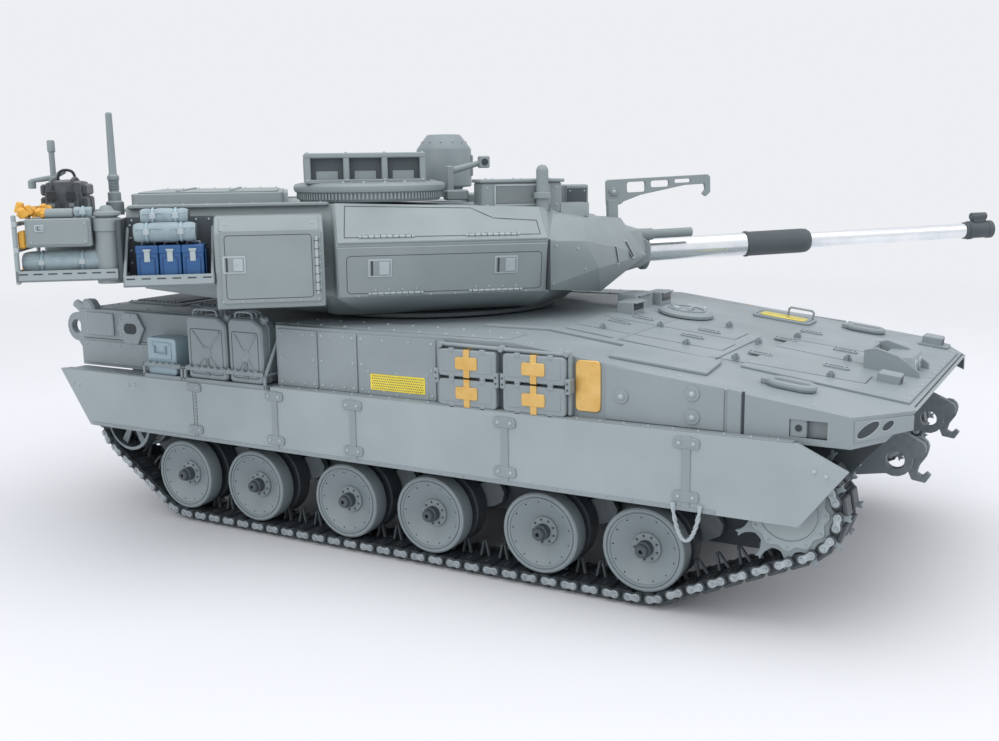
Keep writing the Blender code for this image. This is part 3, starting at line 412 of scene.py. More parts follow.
def seamLine(target, start, end, level=0.06, width=0.32, paint=1, place=None):
    a, b = Vector((*start, 0)), Vector((*end, 0))
    across = (b - a).normalized().cross(Vector((0, 0, 1))) * width / 2
    outline = [(a + across)[:2], (b + across)[:2], (b - across)[:2], (a - across)[:2]]
    slab(target, outline, level - 0.12, level, "XY", 0.0, paint, place)


# a place matrix whose drawing plane is a panel: u along it, v up it, and the third way out of it
def panelPlace(origin, along, up):
    u = Vector(along).normalized()
    v = Vector(up)
    v = (v - u * v.dot(u)).normalized()
    w = u.cross(v)
    place = Matrix((u, v, w)).transposed().to_4x4()
    place.translation = Vector(origin)
    return place


# a place on a CAD node's skin, where a ray from a point meets it
def skinSpot(node, space, start, toward, along):
    back = space.inverted()
    mesh = frame["nodes"][node].data
    tree = BVHTree.FromPolygons([back @ v.co for v in mesh.vertices],
                                [list(f.vertices) for f in mesh.polygons])
    spot, normal = tree.ray_cast(Vector(start), Vector(toward).normalized())[:2]
    u = Vector(along)
    u = (u - normal * u.dot(normal)).normalized()
    return panelPlace(spot, u, normal.cross(u))


# a finished shape becomes an object: mirror 1 turns a right-hand drawing into the left-hand piece
def finishPiece(target, name, space, body, materials, replaced=(), mirror=1, sharp=32):
    if mirror > 0:
        bmesh.ops.transform(target, matrix=Matrix.Scale(-1, 4, (0, 1, 0)), verts=target.verts)
        bmesh.ops.reverse_faces(target, faces=target.faces)
    bmesh.ops.transform(target, matrix=space, verts=target.verts)
    mesh = bpy.data.meshes.new(name)
    target.to_mesh(mesh)
    target.free()
    for material in materials:
        mesh.materials.append(material)
    mesh.shade_smooth()
    mesh.set_sharp_from_angle(angle=math.radians(sharp))
    piece = bpy.data.objects.new(name, mesh)
    bpy.context.collection.objects.link(piece)
    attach(piece, body)
    if replaced:
        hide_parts(*replaced)
    return piece


# a CAD node's shape with its edges broken the way a moulding's are
def softenedPiece(node, name, body, materials, width=0.35):
    part = bmesh.new()
    part.from_mesh(frame["nodes"][node].data)
    bmesh.ops.remove_doubles(part, verts=part.verts, dist=2e-6)
    bmesh.ops.dissolve_limit(part, angle_limit=math.radians(1.0), verts=part.verts, edges=part.edges)
    soften(part, width * millimetre, 1, 20)
    return finishPiece(part, name, Matrix.Identity(4), body, materials, (node,), -1)


# cuts a finished piece with a closed shape drawn in a bmesh, and removes the cutter
def carve(piece, cutter, space):
    bmesh.ops.transform(cutter, matrix=space, verts=cutter.verts)
    bmesh.ops.recalc_face_normals(cutter, faces=cutter.faces)
    mesh = bpy.data.meshes.new("cutter")
    cutter.to_mesh(mesh)
    cutter.free()
    tool = bpy.data.objects.new("cutter", mesh)
    bpy.context.collection.objects.link(tool)
    step = piece.modifiers.new("carve", "BOOLEAN")
    step.operation = "DIFFERENCE"
    step.solver = "EXACT"
    step.object = tool
    shaped = bpy.data.meshes.new_from_object(piece.evaluated_get(bpy.context.evaluated_depsgraph_get()))
    piece.modifiers.clear()
    piece.data = shaped
    shaped.shade_smooth()
    shaped.set_sharp_from_angle(angle=math.radians(32))
    bpy.data.objects.remove(tool, do_unlink=True)


def useMaterial(node, material):
    piece = frame["nodes"][node]
    piece.data.materials.clear()
    piece.data.materials.append(material)


print("tools ready")

cameraSettings = {"fromRing": (0.349985, -0.539326, 0.19135), "azimuth": 29.577, "elevation": 10.293,
                  "roll": -0.785, "lens": 39.99, "sensor": 36.0}


def addCamera(s):
    azimuth, elevation, roll = (math.radians(s[key]) for key in ("azimuth", "elevation", "roll"))
    back = Vector((math.sin(azimuth) * math.cos(elevation), -math.cos(azimuth) * math.cos(elevation),
                   math.sin(elevation)))
    right = Vector((math.cos(azimuth), math.sin(azimuth), 0.0))
    up = back.cross(right)
    rolledRight = right * math.cos(roll) + up * math.sin(roll)
    rolledUp = up * math.cos(roll) - right * math.sin(roll)
    data = bpy.data.cameras.new("camera")
    data.lens = s["lens"]
    data.sensor_width = s["sensor"]
    camera = bpy.data.objects.new("camera", data)
    place = Matrix((rolledRight, rolledUp, back)).transposed().to_4x4()
    place.translation = Vector(s["fromRing"]) + Vector((ringCentre[0], ringCentre[1], 0.0))
    camera.matrix_world = place
    bpy.context.collection.objects.link(camera)
    bpy.context.scene.camera = camera
    return right, back


viewRight, viewBack = addCamera(cameraSettings)

lightSettings = {"skyColour": "#edeff3", "skyStrength": 1.0, "floorColours": ("#dddee1", "#d8d9dc"),
                 "floorFade": (0.5, 1.5),
                 "lamps": [("topSoftbox", 0.0, 0.2, 1.5, 1.6, 12.0, "#ffffff"),
                           ("frontSoftbox", -0.9, 1.3, 0.8, 1.1, 5.6, "#fffefc"),
                           ("rightSoftbox", 1.5, 0.4, 1.1, 0.9, 5.0, "#ffffff")]}


def addStage(s):
    world = bpy.data.worlds.new("studio")
    world.use_nodes = True
    sky = world.node_tree.nodes["Background"]
    sky.inputs["Color"].default_value = srgb(s["skyColour"])
    sky.inputs["Strength"].default_value = s["skyStrength"]
    bpy.context.scene.world = world
    bpy.context.scene.view_settings.view_transform = "Standard"
    level = Vector((viewBack.x, viewBack.y, 0.0)).normalized()
    for name, sideways, towards, height, size, power, colour in s["lamps"]:
        data = bpy.data.lights.new(name, "AREA")
        data.shape = "SQUARE"
        data.size = size
        data.energy = power
        data.color = srgb(colour)[:3]
        lamp = bpy.data.objects.new(name, data)
        spot = viewRight * sideways + level * towards + Vector((0.0, 0.0, height))
        lamp.location = spot
        lamp.rotation_euler = (spot - Vector((0.0, 0.0, 0.08))).to_track_quat("Z", "Y").to_euler()
        bpy.context.collection.objects.link(lamp)
    shape = bmesh.new()
    bmesh.ops.create_grid(shape, x_segments=1, y_segments=1, size=6.0)
    bmesh.ops.translate(shape, verts=shape.verts, vec=(0, 0, -0.0002))
    mesh = bpy.data.meshes.new("floor")
    shape.to_mesh(mesh)
    shape.free()
    material, tree, shader, place = startMaterial("paperSweep")
    fibre = addNode(tree, "ShaderNodeTexNoise", {"Scale": 3.0, "Detail": 2.0}, {"Vector": place})
    colour = mixedColour(tree, fibre.outputs["Fac"], *s["floorColours"])
    tree.links.new(colour, shader.inputs["Base Color"])
    shader.inputs["Roughness"].default_value = 0.85
    shader.inputs["Specular IOR Level"].default_value = 0.2
    # the sheet fades out with distance, so that no horizon line shows behind the tank
    length = addNode(tree, "ShaderNodeVectorMath", {"operation": "LENGTH"}, {0: place})
    near = addNode(tree, "ShaderNodeMapRange",
                   {"From Min": s["floorFade"][0], "From Max": s["floorFade"][1], "To Min": 1.0,
                    "To Max": 0.0},
                   {"Value": length.outputs["Value"]})
    tree.links.new(near.outputs["Result"], shader.inputs["Alpha"])
    mesh.materials.append(material)
    floor = bpy.data.objects.new("floor", mesh)
    bpy.context.collection.objects.link(floor)


addStage(lightSettings)
print("stage ready")

wheelSettings = {"radius": 19.4, "face": 104.8, "steps": 48, "tyre": 9.2, "width": 23.0, "innerRadius": 14.2,
                 "rimBolts": 13, "rimBoltRadius": 14.7, "hubBolts": 9, "hubBoltRadius": 5.5}


# Road wheel: a dished disc in a stepped rim, a bolted hub flange and a stub with its bearing cap.
# Drawn with its outer face towards +Z and that face's rim at height zero.
def wheelShape(s):
    bm = bmesh.new()
    r = s["radius"]
    face = [(0.0, 1.2), (1.0, 1.2), (1.0, 2.5), (2.5, 2.5), (3.0, 1.8), (3.0, 0.2), (3.7, -0.3), (3.7, -3.9),
            (4.3, -4.1), (6.6, -4.1), (6.9, -4.5), (6.9, -5.3), (8.2, -5.0), (15.0, -1.2), (15.7, -0.9),
            (16.0, -0.3), (16.7, -0.3), (16.9, -0.9), (17.3, -0.9), (17.5, -0.2), (18.4, -0.1),
            (r - 0.3, -0.5),
            (r, -1.1), (r, -s["tyre"] + 0.5), (r - 0.5, -s["tyre"]), (s["innerRadius"], -s["tyre"]),
            (s["innerRadius"], s["tyre"] - s["width"]), (r - 0.5, s["tyre"] - s["width"]),
            (r, s["tyre"] - s["width"] - 0.5), (r, -s["width"] + 0.6), (r - 0.6, -s["width"]),
            (16.5, -s["width"]), (15.5, -s["width"] + 1.5), (8.0, -s["width"] + 3.5),
            (7.0, -s["width"] + 1.0),
            (3.4, -s["width"] + 1.0), (3.4, -s["width"] + 6.0), (0.0, -s["width"] + 6.0)]
    # The pocket at the hub's centre takes the dark gloss, a painted shade in the hollow. From the back edge of the
    # outer tread inward, the gap between the two discs and the whole inboard disc with its tread take the darker
    # tyre grey, a painted shade, while the outer tread keeps the wheel grey.
    paints = [3] + [2] * 6 + [0] * 16 + [1] * (len(face) - 24)
    lathe(bm, face, s["steps"], paints)
    for x, y in ring(s["rimBoltRadius"], s["rimBolts"], 0.2):
        out = Vector((x, y, 0)).normalized()
        normal = Vector((-out.x * 0.48, -out.y * 0.48, 0.87))
        spot = Vector((x, y, -1.45))
        rod(bm, spot - normal * 0.3, spot + normal * 0.16, 0.62, 0.56, 10, 0, 0)
        rod(bm, spot, spot + normal * 0.2, 0.36, 0.36, 8, 0, 3)
    for x, y in ring(s["hubBoltRadius"], s["hubBolts"], 0.4):
        bolt(bm, (x, y, -4.1), (0, 0, 1), 0.62, 0.55, 6, 2)
    for x, y in ring(3.35, 6, 0.1):
        rod(bm, (x, y, -3.6), (x, y, -0.6), 0.42, 0.42, 5, 0, 2)
    return bm


def placeTurned(shape, name, body, node, at, side, materials):
    # the outer face looks along the side's own direction
    bm = shape.copy()
    turn = Matrix.Rotation(math.pi / 2, 4, "X")
    bmesh.ops.transform(bm, matrix=Matrix.Translation(at) @ turn, verts=bm.verts)
    finishPiece(bm, name, hullSpace, body, materials, (node,), side)


wheelModel = wheelShape(wheelSettings)
for word, side in sides:
    for number in range(1, 7):
        axle = hullPoint(f"road_wheel_{word}_{number}_spin")
        placeTurned(wheelModel, f"roadWheel_{word}_{number}", f"wheel_{word}_{number}",
                    f"road_wheel_{word}_{number}", (axle.x, -wheelSettings["face"], axle.z), side,
                    (wheelGrey, rubberAndShadeGrey, shadeGrey, lensAndHollowShadeDark))
print("road wheels ready")

sprocketSettings = {"teeth": 12, "root": 17.4, "tip": 24.9, "plate": 2.2, "offset": 10.8, "boltCircle": 15.6}


def sprocketPlate(s):
    outline = []
    step = 360 / s["teeth"]
    for tooth in range(s["teeth"]):
        middle = -90 + tooth * step
        stations = ((s["root"], -13.0), (s["root"] + 0.3, -9.0), (s["root"] + 1.8, -5.6), (21.0, -3.2),
                    (23.2, -2.6), (24.6, -3.5), (s["tip"], -2.3), (24.1, 0.0), (s["tip"], 2.3), (24.6, 3.5),
                    (23.2, 2.6), (21.0, 3.2), (s["root"] + 1.8, 5.6), (s["root"] + 0.3, 9.0),
                    (s["root"], 13.0))
        for radius, lean in stations:
            angle = math.radians(middle + lean)
            outline.append((radius * math.cos(angle), radius * math.sin(angle)))
    return outline


# Drive sprocket: two toothed plates, a scalloped bolted ring on the outer one, and a recessed hub.
def sprocketShape(s):
    bm = bmesh.new()
    for middle in (s["offset"], -s["offset"]):
        slab(bm, sprocketPlate(s), middle - s["plate"] / 2, middle + s["plate"] / 2, "XY", 0.25, 0)
    top = s["offset"] + s["plate"] / 2
    scallop = []
    for i in range(s["teeth"] * 6):
        angle = math.tau * i / (s["teeth"] * 6) - math.pi / 2
        radius = 16.0 + 0.9 * math.cos(s["teeth"] * (angle + math.pi / 2))
        scallop.append((radius * math.cos(angle), radius * math.sin(angle)))
    slab(bm, scallop, top - 0.2, top + 0.7, "XY", 0.2, 4)
    for x, y in ring(s["boltCircle"] - 0.4, s["teeth"], -math.pi / 2):
        bolt(bm, (x, y, top + 0.7), (0, 0, 1), 0.7, 0.5, 8, 4)
    lathe(bm, [(12.6, top + 0.7), (12.9, top + 1.0), (12.4, top + 1.1), (11.9, top + 0.6), (11.6, top - 2.4),
               (0.0, top - 2.4)], 36, [4, 4, 0, 1, 1])
    lathe(bm, [(10.2, top - 2.4), (10.2, top - 1.6), (7.2, top - 1.6), (6.6, top - 0.2), (5.2, top + 0.8),
               (3.0, top + 2.6), (0.0, top + 2.6)], 24, [1, 1, 1, 2, 2, 2])
    for x, y in ring(8.8, 12):
        rod(bm, (x, y, top - 1.7), (x, y, top - 0.7), 0.95, 0.85, 10, 0.12, 4)
    lathe(bm, [(0.0, -s["offset"] - 1.5), (10.0, -s["offset"] - 1.5), (13.9, -s["offset"] + 1.2),
               (13.9, s["offset"] - 1.2)], 32, [2, 2, 2])
    return bm


idlerSettings = {"radius": 17.0, "spokes": 6, "halfWidth": 10.9}


# Idler: two thin rims on an open spoked disc.
def idlerShape(s):
    bm = bmesh.new()
    r, w = s["radius"], s["halfWidth"]
    for low, high in ((w - 7.6, w), (-w, -w + 7.6)):
        # each rim's tread, its inward-facing side and its bore take the darker tyre grey, which on the inward side
        # and the bore is a painted shade
        lathe(bm, [(r - 1.8, low), (r - 0.3, low), (r, low + 0.3), (r, high - 0.3), (r - 0.3, high),
                   (r - 1.8, high),
                   (r - 1.8, low)], 48, [1, 1, 1, 0, 0, 1])
    lathe(bm, [(0.0, w - 2.0), (2.0, w - 2.0), (2.6, w - 3.0), (4.6, w - 3.4), (4.6, -w + 3.0),
               (0.0, -w + 3.0)], 24,
          [2, 2, 0, 2, 2])
    for x, y in ring(1.0, s["spokes"]):
        side = Vector((-y, x, 0))
        out = Vector((x, y, 0))
        outline = [out * 4.0 + side * 1.5, out * (r - 1.5) + side * 2.3, out * (r - 1.5) - side * 2.3,
                   out * 4.0 - side * 1.5]
        for low, high in ((w - 4.4, w - 3.2), (-w + 3.2, -w + 4.4)):
            slab(bm, [(p.x, p.y) for p in outline], low, high, "XY", 0.2, 0)
    for x, y in ring(3.4, 6):
        bolt(bm, (x, y, w - 3.2), (0, 0, 1), 0.45, 0.4, 6, 2)
    return bm


trackMiddle = abs(hullPoint("sprocket_right_spin").y)
sprocketModel = sprocketShape(sprocketSettings)
idlerModel = idlerShape(idlerSettings)
for word, side in sides:
    axle = hullPoint(f"sprocket_{word}_spin")
    placeTurned(sprocketModel, f"driveSprocket_{word}", f"sprocket_{word}", f"drive_sprocket_{word}",
                (axle.x, -trackMiddle, axle.z), side, (wheelGrey, shadeGrey, shadeGrey, lensAndHollowShadeDark, panelGrey))
    axle = hullPoint(f"idler_{word}_spin")
    placeTurned(idlerModel, f"idlerWheel_{word}", f"idler_{word}", f"idler_wheel_{word}",
                (axle.x, -trackMiddle, axle.z), side, (wheelGrey, rubberAndShadeGrey, shadeGrey))
print("sprockets and idlers ready")

trackSettings = {"pitch": 10.3, "thickness": 6.1, "pinHeight": 2.0, "halfWidth": 14.0, "padGap": 0.6,
                 "hornHeight": 7.4, "gap": 0.3}


# the pitch line: tangents and arcs round the idler, the wheels and the sprocket
def pitchLine(s):
    circles = [(hullPoint("idler_right_spin"), idlerSettings["radius"] + s["gap"] + s["pinHeight"])]
    circles += [(hullPoint(f"road_wheel_right_{n}_spin"), wheelSettings["radius"] + s["gap"] + s["pinHeight"])
                for n in range(1, 7)]
    circles.append((hullPoint("sprocket_right_spin"), s["pitch"] * sprocketSettings["teeth"] / math.tau))
    leaves = []
    for (a, ar), (b, br) in zip(circles, circles[1:] + circles[:1]):
        heading = math.atan2(b.z - a.z, b.x - a.x)
        lean = math.asin((ar - br) / math.hypot(b.x - a.x, b.z - a.z))
        leaves.append(heading - math.pi / 2 + lean)
    points = []
    for i, (centre, radius) in enumerate(circles):
        start, end = leaves[i - 1], leaves[i]
        sweep = (end - start) % math.tau
        sweep = 0.0 if sweep > math.pi * 1.5 else sweep
        count = max(1, math.ceil(math.degrees(sweep) / 4))
        for k in range(count + 1):
            angle = start + sweep * k / count
            points.append(Vector((centre.x + radius * math.cos(angle), 0,
                                  centre.z + radius * math.sin(angle))))
    return points


def evenStations(points, pitch):
    loop = points + points[:1]
    lengths = [(b - a).length for a, b in zip(loop, loop[1:])]
    total = sum(lengths)
    count = round(total / pitch)
    stations = []
    for i in range(count):
        distance = total * i / count
        k = 0
        while distance > lengths[k]:
            distance -= lengths[k]
            k += 1
        stations.append(loop[k].lerp(loop[k + 1], distance / lengths[k]))
    return stations


# One shoe between two pins. x runs along the track, y outwards, z away from the wheels, zero on the pins.
def shoeShape(s):
    bm = bmesh.new()
    inner, outer = -s["pinHeight"], s["thickness"] - s["pinHeight"]
    half = s["pitch"] / 2
    edge = s["halfWidth"] - 2.7
    profile = [(-half + 0.5, inner + 1.0), (-half + 1.3, inner), (half - 1.3, inner),
               (half - 0.5, inner + 1.0),
               (half - 0.5, outer - 2.6), (half - 1.4, outer - 1.8), (-half + 1.4, outer - 1.8),
               (-half + 0.5, outer - 2.6)]
    for low, high in ((-edge, -1.6), (1.6, edge)):
        slab(bm, profile, low, high, "XZ", 0.0, 0)
        block(bm, (-half + 1.0, half - 1.0), (low + 0.7, high - 0.5), (outer - 2.0, outer), 0.5, 1)
        block(bm, (-0.5, 0.5), (low + 3.0, high - 3.0), (inner - 0.25, inner + 0.4), 0.0, 1)
    block(bm, (-1.9, 1.9), (-1.7, 1.7), (inner + 0.3, outer - 2.4), 0.0, 0)
    for sign in (-1, 1):
        rod(bm, (sign * half, -edge, 0), (sign * half, edge, 0), 1.25, None, 6, 0, 0)
    return bm


# The centre guide: two thin legs that lean together into a horn.
def hornShape(s):
    bm = bmesh.new()
    base = -s["pinHeight"] + 0.6
    top = -s["pinHeight"] - s["hornHeight"]
    for sign in (-1, 1):
        leg = [(sign * 2.9, base), (sign * 0.9, top), (sign * 0.1, top), (sign * 1.7, base)]
        slab(bm, leg, -0.75, 0.75, "XZ", 0.0, 0)
    block(bm, (-1.0, 1.0), (-0.75, 0.75), (top - 0.3, top + 0.8), 0.25, 0)
    return bm


# End connector over two pins: a waisted plate with a domed boss over each pin.
def connectorShape(s):
    bm = bmesh.new()
    y0, y1 = s["halfWidth"] - 2.5, s["halfWidth"]
    outline = []
    for cx, start in ((2.35, -90), (-2.35, 90)):
        for k in range(7):
            angle = math.radians(start + 30 * k)
            outline.append((cx + 2.15 * math.cos(angle), 2.15 * math.sin(angle)))
        outline.append((0.0, 1.55 if start < 0 else -1.55))
    place = Matrix.Rotation(math.pi / 2, 4, "X")
    slab(bm, outline, -y1 + 0.5, -y0, "XY", 0.0, 0, place)
    slab(bm, [(u * 0.86, v * 0.84) for u, v in outline], -y1 + 0.1, -y1 + 0.7, "XY", 0.2, 1, place)
    for sign in (-1, 1):
        rod(bm, (sign * 2.2, y1 - 0.2, 0), (sign * 2.2, y1 + 0.3, 0), 1.0, 0.75, 8, 0, 1)
    bmesh.ops.recalc_face_normals(bm, faces=bm.faces)
    return bm


def trackPiece(word, side, s):
    stations = evenStations(pitchLine(s), s["pitch"])
    shoe, horn, connector = shoeShape(s), hornShape(s), connectorShape(s)
    links, ends = bmesh.new(), bmesh.new()
    count = len(stations)
    for i, here in enumerate(stations):
        ahead = stations[(i + 1) % count]
        behind = stations[i - 1]
        along = (ahead - here).normalized()
        away = Vector((along.z, 0, -along.x))
        place = Matrix((along, Vector((0, -1, 0)), away)).transposed().to_4x4()
        place.translation = (here + ahead) / 2 + Vector((0, -trackMiddle, 0))
        pour(links, shoe.copy(), place)
        joint = (ahead - behind).normalized()
        jointAway = Vector((joint.z, 0, -joint.x))
        place = Matrix((joint, Vector((0, -1, 0)), jointAway)).transposed().to_4x4()
        place.translation = here + Vector((0, -trackMiddle, 0))
        pour(ends, horn.copy(), place)
        pour(ends, connector.copy(), place)
        pour(ends, connector.copy(), place @ Matrix.Rotation(math.pi, 4, "Z"))
    for bm in (shoe, horn, connector):
        bm.free()
    finishPiece(links, f"trackShoes_{word}", hullSpace, "hull", (trackBlack, rubberAndShadeGrey),
                (f"track_{word}",), side)
    finishPiece(ends, f"trackEnds_{word}", hullSpace, "hull", (shadeGrey, linkSteel), (),
                side)
    return count


for word, side in sides:
    print("track links:", trackPiece(word, side, trackSettings))
# paint 3 is the lighter grey, a painted highlight on small raised parts
hullPaint = [hullGrey, seamDark, shadeGrey, smallPartHighlightGrey, brass, yellowMesh, glass, lensAndHollowShadeDark, hookGrey]

# The tub and the shell keep the CAD's form, with the broken edges of a moulding.
softenedPiece("lower_hull", "tub", "hull", [shadeGrey], 0.4)
shellPiece = softenedPiece("upper_hull", "hullShell", "hull", hullPaint, 0.5)
recess = bmesh.new()
for y in (-112.0, 107.5):
    block(recess, (238, 253), (y, y + 4.5), (85.2, 92.4), 0)
carve(shellPiece, recess, hullSpace)
for side, mirrorSign in sides:
    softenedPiece(f"side_skirt_{side}", f"skirt_{side}", "hull", [panelGrey], 0.45)
    softenedPiece(f"tow_lug_{side}", f"towLug_{side}", "hull", [hookGrey], 0.25)
    softenedPiece(f"tow_hook_{side}", f"towHook_{side}", f"hook_{side}", [hookGrey], 0.3)
    for number in range(1, 7):
        softenedPiece(f"swing_arm_{side}_{number}", f"arm_{side}_{number}", f"arm_{side}_{number}",
                      [hookGrey], 0.3)
    useMaterial(f"gearbox_{side}", gearMetal)
useMaterial("battery_pack", batteryWrap)
useMaterial("control_board", boardGreen)
useMaterial("traverse_motor", gearMetal)
softenedPiece("power_switch", "switchSlide", "switch_knob", [switchBlack], 0.25)
print("hull bodies ready")

skirtSettings = {"face": -116.4, "joints": (-21.6, 27.5, 112.2, 197.8), "low": 51.4, "high": 82.4, "gap": 3.7,
                 "bead": -76.7, "beads": 16, "boltStep": 11}


def addSkirtDetail(s, side, mirrorSign):
    detail = bmesh.new()
    y = s["face"]
    face = panelPlace((0, y, 0), (1, 0, 0), (0, 0, 1))
    for x in s["joints"]:
        block(detail, (x - s["gap"] / 2, x + s["gap"] / 2), (y - 0.55, y + 0.1), (s["low"] + 0.4, s["high"]),
              0.18)
        for z in (54.4, 77.2):
            slab(detail, rounded(x - 5.8, x + 5.8, z, z + 4.6, 1.6), -0.1, 0.85, "XY", 0.22, 0, face)
            for spot in (-3.2, 3.2):
                bolt(detail, (x + spot, y - 0.85, z + 2.3), (0, -1, 0), 0.85, 0.6, 6, 3)
    # the rear joint is a row of moulded beads between its two brackets
    for z in (54.4, 77.2):
        slab(detail, rounded(s["bead"] - 5.2, s["bead"] + 5.2, z, z + 4.6, 1.6), -0.1, 0.85, "XY", 0.22, 0,
             face)
        for spot in (-3.2, 3.2):
            bolt(detail, (s["bead"] + spot, y - 0.85, z + 2.3), (0, -1, 0), 0.85, 0.6, 6, 3)
    for i in range(s["beads"]):
        z = 52.8 + i * 28.0 / (s["beads"] - 1)
        bolt(detail, (s["bead"], y, z), (0, -1, 0), 0.62, 0.4, 6)
    for x in (s["bead"] - 1.2, s["bead"] + 1.2):
        seamLine(detail, (x, 52.0), (x, 81.6), 0.05, 0.3, 1, face)
    # the folded bottom edge
    slab(detail, [(-157.5, 51.0), (-155.6, 53.0), (210.6, 52.4), (210.6, 50.6)], -0.1, 0.4, "XY", 0.12, 0,
         face)
    for x in range(-150, 206, 12):
        bolt(detail, (x, y - 0.4, 51.9), (0, -1, 0), 0.45, 0.3, 6)
    for x, z in ((249.9, 73.8), (254.6, 72.4), (-171.0, 74.5), (-166.0, 74.0), (-126.0, 77.0),
                 (-121.0, 77.2)):
        bolt(detail, (x, y, z), (0, -1, 0), 1.05, 0.7, 6, 3)
    # flange along the top, bolted every eleven millimetres
    block(detail, (-23.0, 241.0), (-115.6, -111.0), (83.6, 84.5), 0.15)
    for x in range(-18, 240, s["boltStep"]):
        bolt(detail, (x, -114.2, 84.5), (0, 0, 1), 0.55, 0.45, 6, 3)
    block(detail, (-177.0, -25.0), (-116.0, -112.0), (81.6, 82.4), 0.15)
    for x in range(-172, -28, s["boltStep"]):
        bolt(detail, (x, -114.6, 82.4), (0, 0, 1), 0.5, 0.4, 6, 3)
    # moulded cable handle hanging under the last joint, drawn as two twisted strands
    for phase in (0.0, math.pi):
        strand = []
        for i in range(49):
            t = i / 48
            x = 192.6 + 11.8 * t
            z = 54.0 - 16.0 * math.sin(math.pi * t) ** 0.6
            twist = phase + t * math.tau * 7
            strand.append((x + 0.45 * math.cos(twist), y - 1.1 + 0.45 * math.sin(twist), z))
        wire(detail, strand, 0.62, 1, False, False, 3)
    finishPiece(detail, f"skirtDetail_{side}", hullSpace, "hull", hullPaint, (), mirrorSign)


for side, mirrorSign in sides:
    addSkirtDetail(skirtSettings, side, mirrorSign)
print("skirts ready")

sideSettings = {"face": -110.0, "panels": ((-22.4, 2.6), (3.4, 26.9), (27.7, 72.6)), "low": 84.4,
                "high": 113.6}


def addSponsonDetail(s, side, mirrorSign):
    detail = bmesh.new()
    y = s["face"]
    face = panelPlace((0, y, 0), (1, 0, 0), (0, 0, 1))
    for low, high in s["panels"]:
        slab(detail, rounded(low, high, s["low"], s["high"], 0.8, 2), -0.1, 0.75, "XY", 0.25, 0, face)
        for x in (low + 2.2, high - 2.2):
            for z in (s["low"] + 2.2, (s["low"] + s["high"]) / 2, s["high"] - 2.2):
                bolt(detail, (x, y - 0.75, z), (0, -1, 0), 0.75, 0.5, 6, 3)
        for x in ((low * 2 + high) / 3, (low + high * 2) / 3):
            for z in (s["low"] + 2.2, s["high"] - 2.2):
                bolt(detail, (x, y - 0.75, z), (0, -1, 0), 0.6, 0.45, 6, 3)
    # pierced yellow vent cover in its frame, bolted at the corners
    slab(detail, rounded(32.4, 68.6, 84.4, 97.0, 0.8), 0.3, 0.9, "XY", 0.2, 0, face)
    slab(detail, rounded(35.0, 66.6, 87.0, 95.0, 0.5), 0.6, 1.2, "XY", 0.15, 5, face)
    for i in range(27):
        for j in range(6):
            x, z = 36.4 + i * 1.1 + (0.55 if j % 2 else 0), 88.0 + j * 1.2
            rod(detail, (x, y - 1.1, z), (x, y - 1.26, z), 0.32, 0.32, 6, 0, 2)
    for x in (33.8, 50.5, 67.4):
        for z in (85.4, 96.0):
            bolt(detail, (x, y - 0.9, z), (0, -1, 0), 0.55, 0.45, 6, 3)
    # plates ahead of the boxes
    slab(detail, rounded(144.6, 156.6, 87.0, 109.6, 2.2), -0.1, 0.9, "XY", 0.25, 4, face)
    slab(detail, [(158.6, 84.6), (158.6, 108.6), (211.4, 102.6), (211.4, 84.6)], -0.1, 0.7, "XY", 0.25, 0,
         face)
    for x, z in ((166.3, 95.3), (197.9, 99.2), (198.1, 89.3)):
        rod(detail, (x, y - 0.6, z), (x, y - 1.4, z), 3.3, 3.1, 24, 0.15)
        rod(detail, (x, y - 1.3, z), (x, y - 1.7, z), 1.9, 1.8, 20, 0.1)
        bolt(detail, (x, y - 1.4, z), (0, -1, 0), 1.25, 0.9, 6, 3)
    slab(detail, [(212.6, 84.0), (212.6, 102.6), (218.4, 101.8), (218.4, 84.0)], -0.1, 0.6, "XY", 0.2, 0,
         face)
    seamLine(detail, (219.2, 84.0), (219.2, 101.8), 0.06, 1.2, 1, face)
    # the recess is lined, with a lamp socket in its rear half
    block(detail, (237.0, 254.0), (y + 5.0, y + 5.8), (84.2, 93.2), 0)
    for z in (84.4, 92.4):
        block(detail, (237.0, 254.0), (y + 0.6, y + 5.8), (z, z + 0.8), 0)
    for x in (237.2, 253.0):
        block(detail, (x, x + 0.8), (y + 0.6, y + 5.8), (84.6, 93.0), 0)
    slab(detail, [(238.0, y + 5.2), (238.0, y + 0.9), (244.6, y + 1.5), (244.6, y + 5.2)], 85.0, 92.6, "XY",
         0.2)
    rod(detail, (241.4, y + 1.6, 88.8), (241.4, y + 0.95, 88.8), 1.4, 1.4, 20, 0, 1)
    # corner plate between the side and the nose, with its two slots
    corner = panelPlace((262.0, -110.0, 0), (18.4, 35.9, 0), (0, 0, 1))
    slab(detail, [(1.6, 85.0), (1.6, 93.4), (38.0, 91.2), (38.0, 85.0)], -0.1, 0.5, "XY", 0.2, 0, corner)
    for u, v, long, short in ((9.4, 89.2, 6.6, 2.2), (21.4, 89.3, 3.6, 1.6)):
        tilt = corner @ Matrix.Translation((u, v, 0)) @ Matrix.Rotation(math.radians(16), 4, "Z")
        oval = [(long * math.cos(math.tau * i / 28), short * math.sin(math.tau * i / 28)) for i in range(28)]
        slab(detail, oval, 0.3, 0.56, "XY", 0, 1, tilt)
        seamLoop(detail, [(x * 1.12, z * 1.25) for x, z in oval], 0.6, 0.35, 3, tilt)
    finishPiece(detail, f"sponsonDetail_{side}", hullSpace, "hull", hullPaint, (), mirrorSign)


for side, mirrorSign in sides:
    addSponsonDetail(sideSettings, side, mirrorSign)

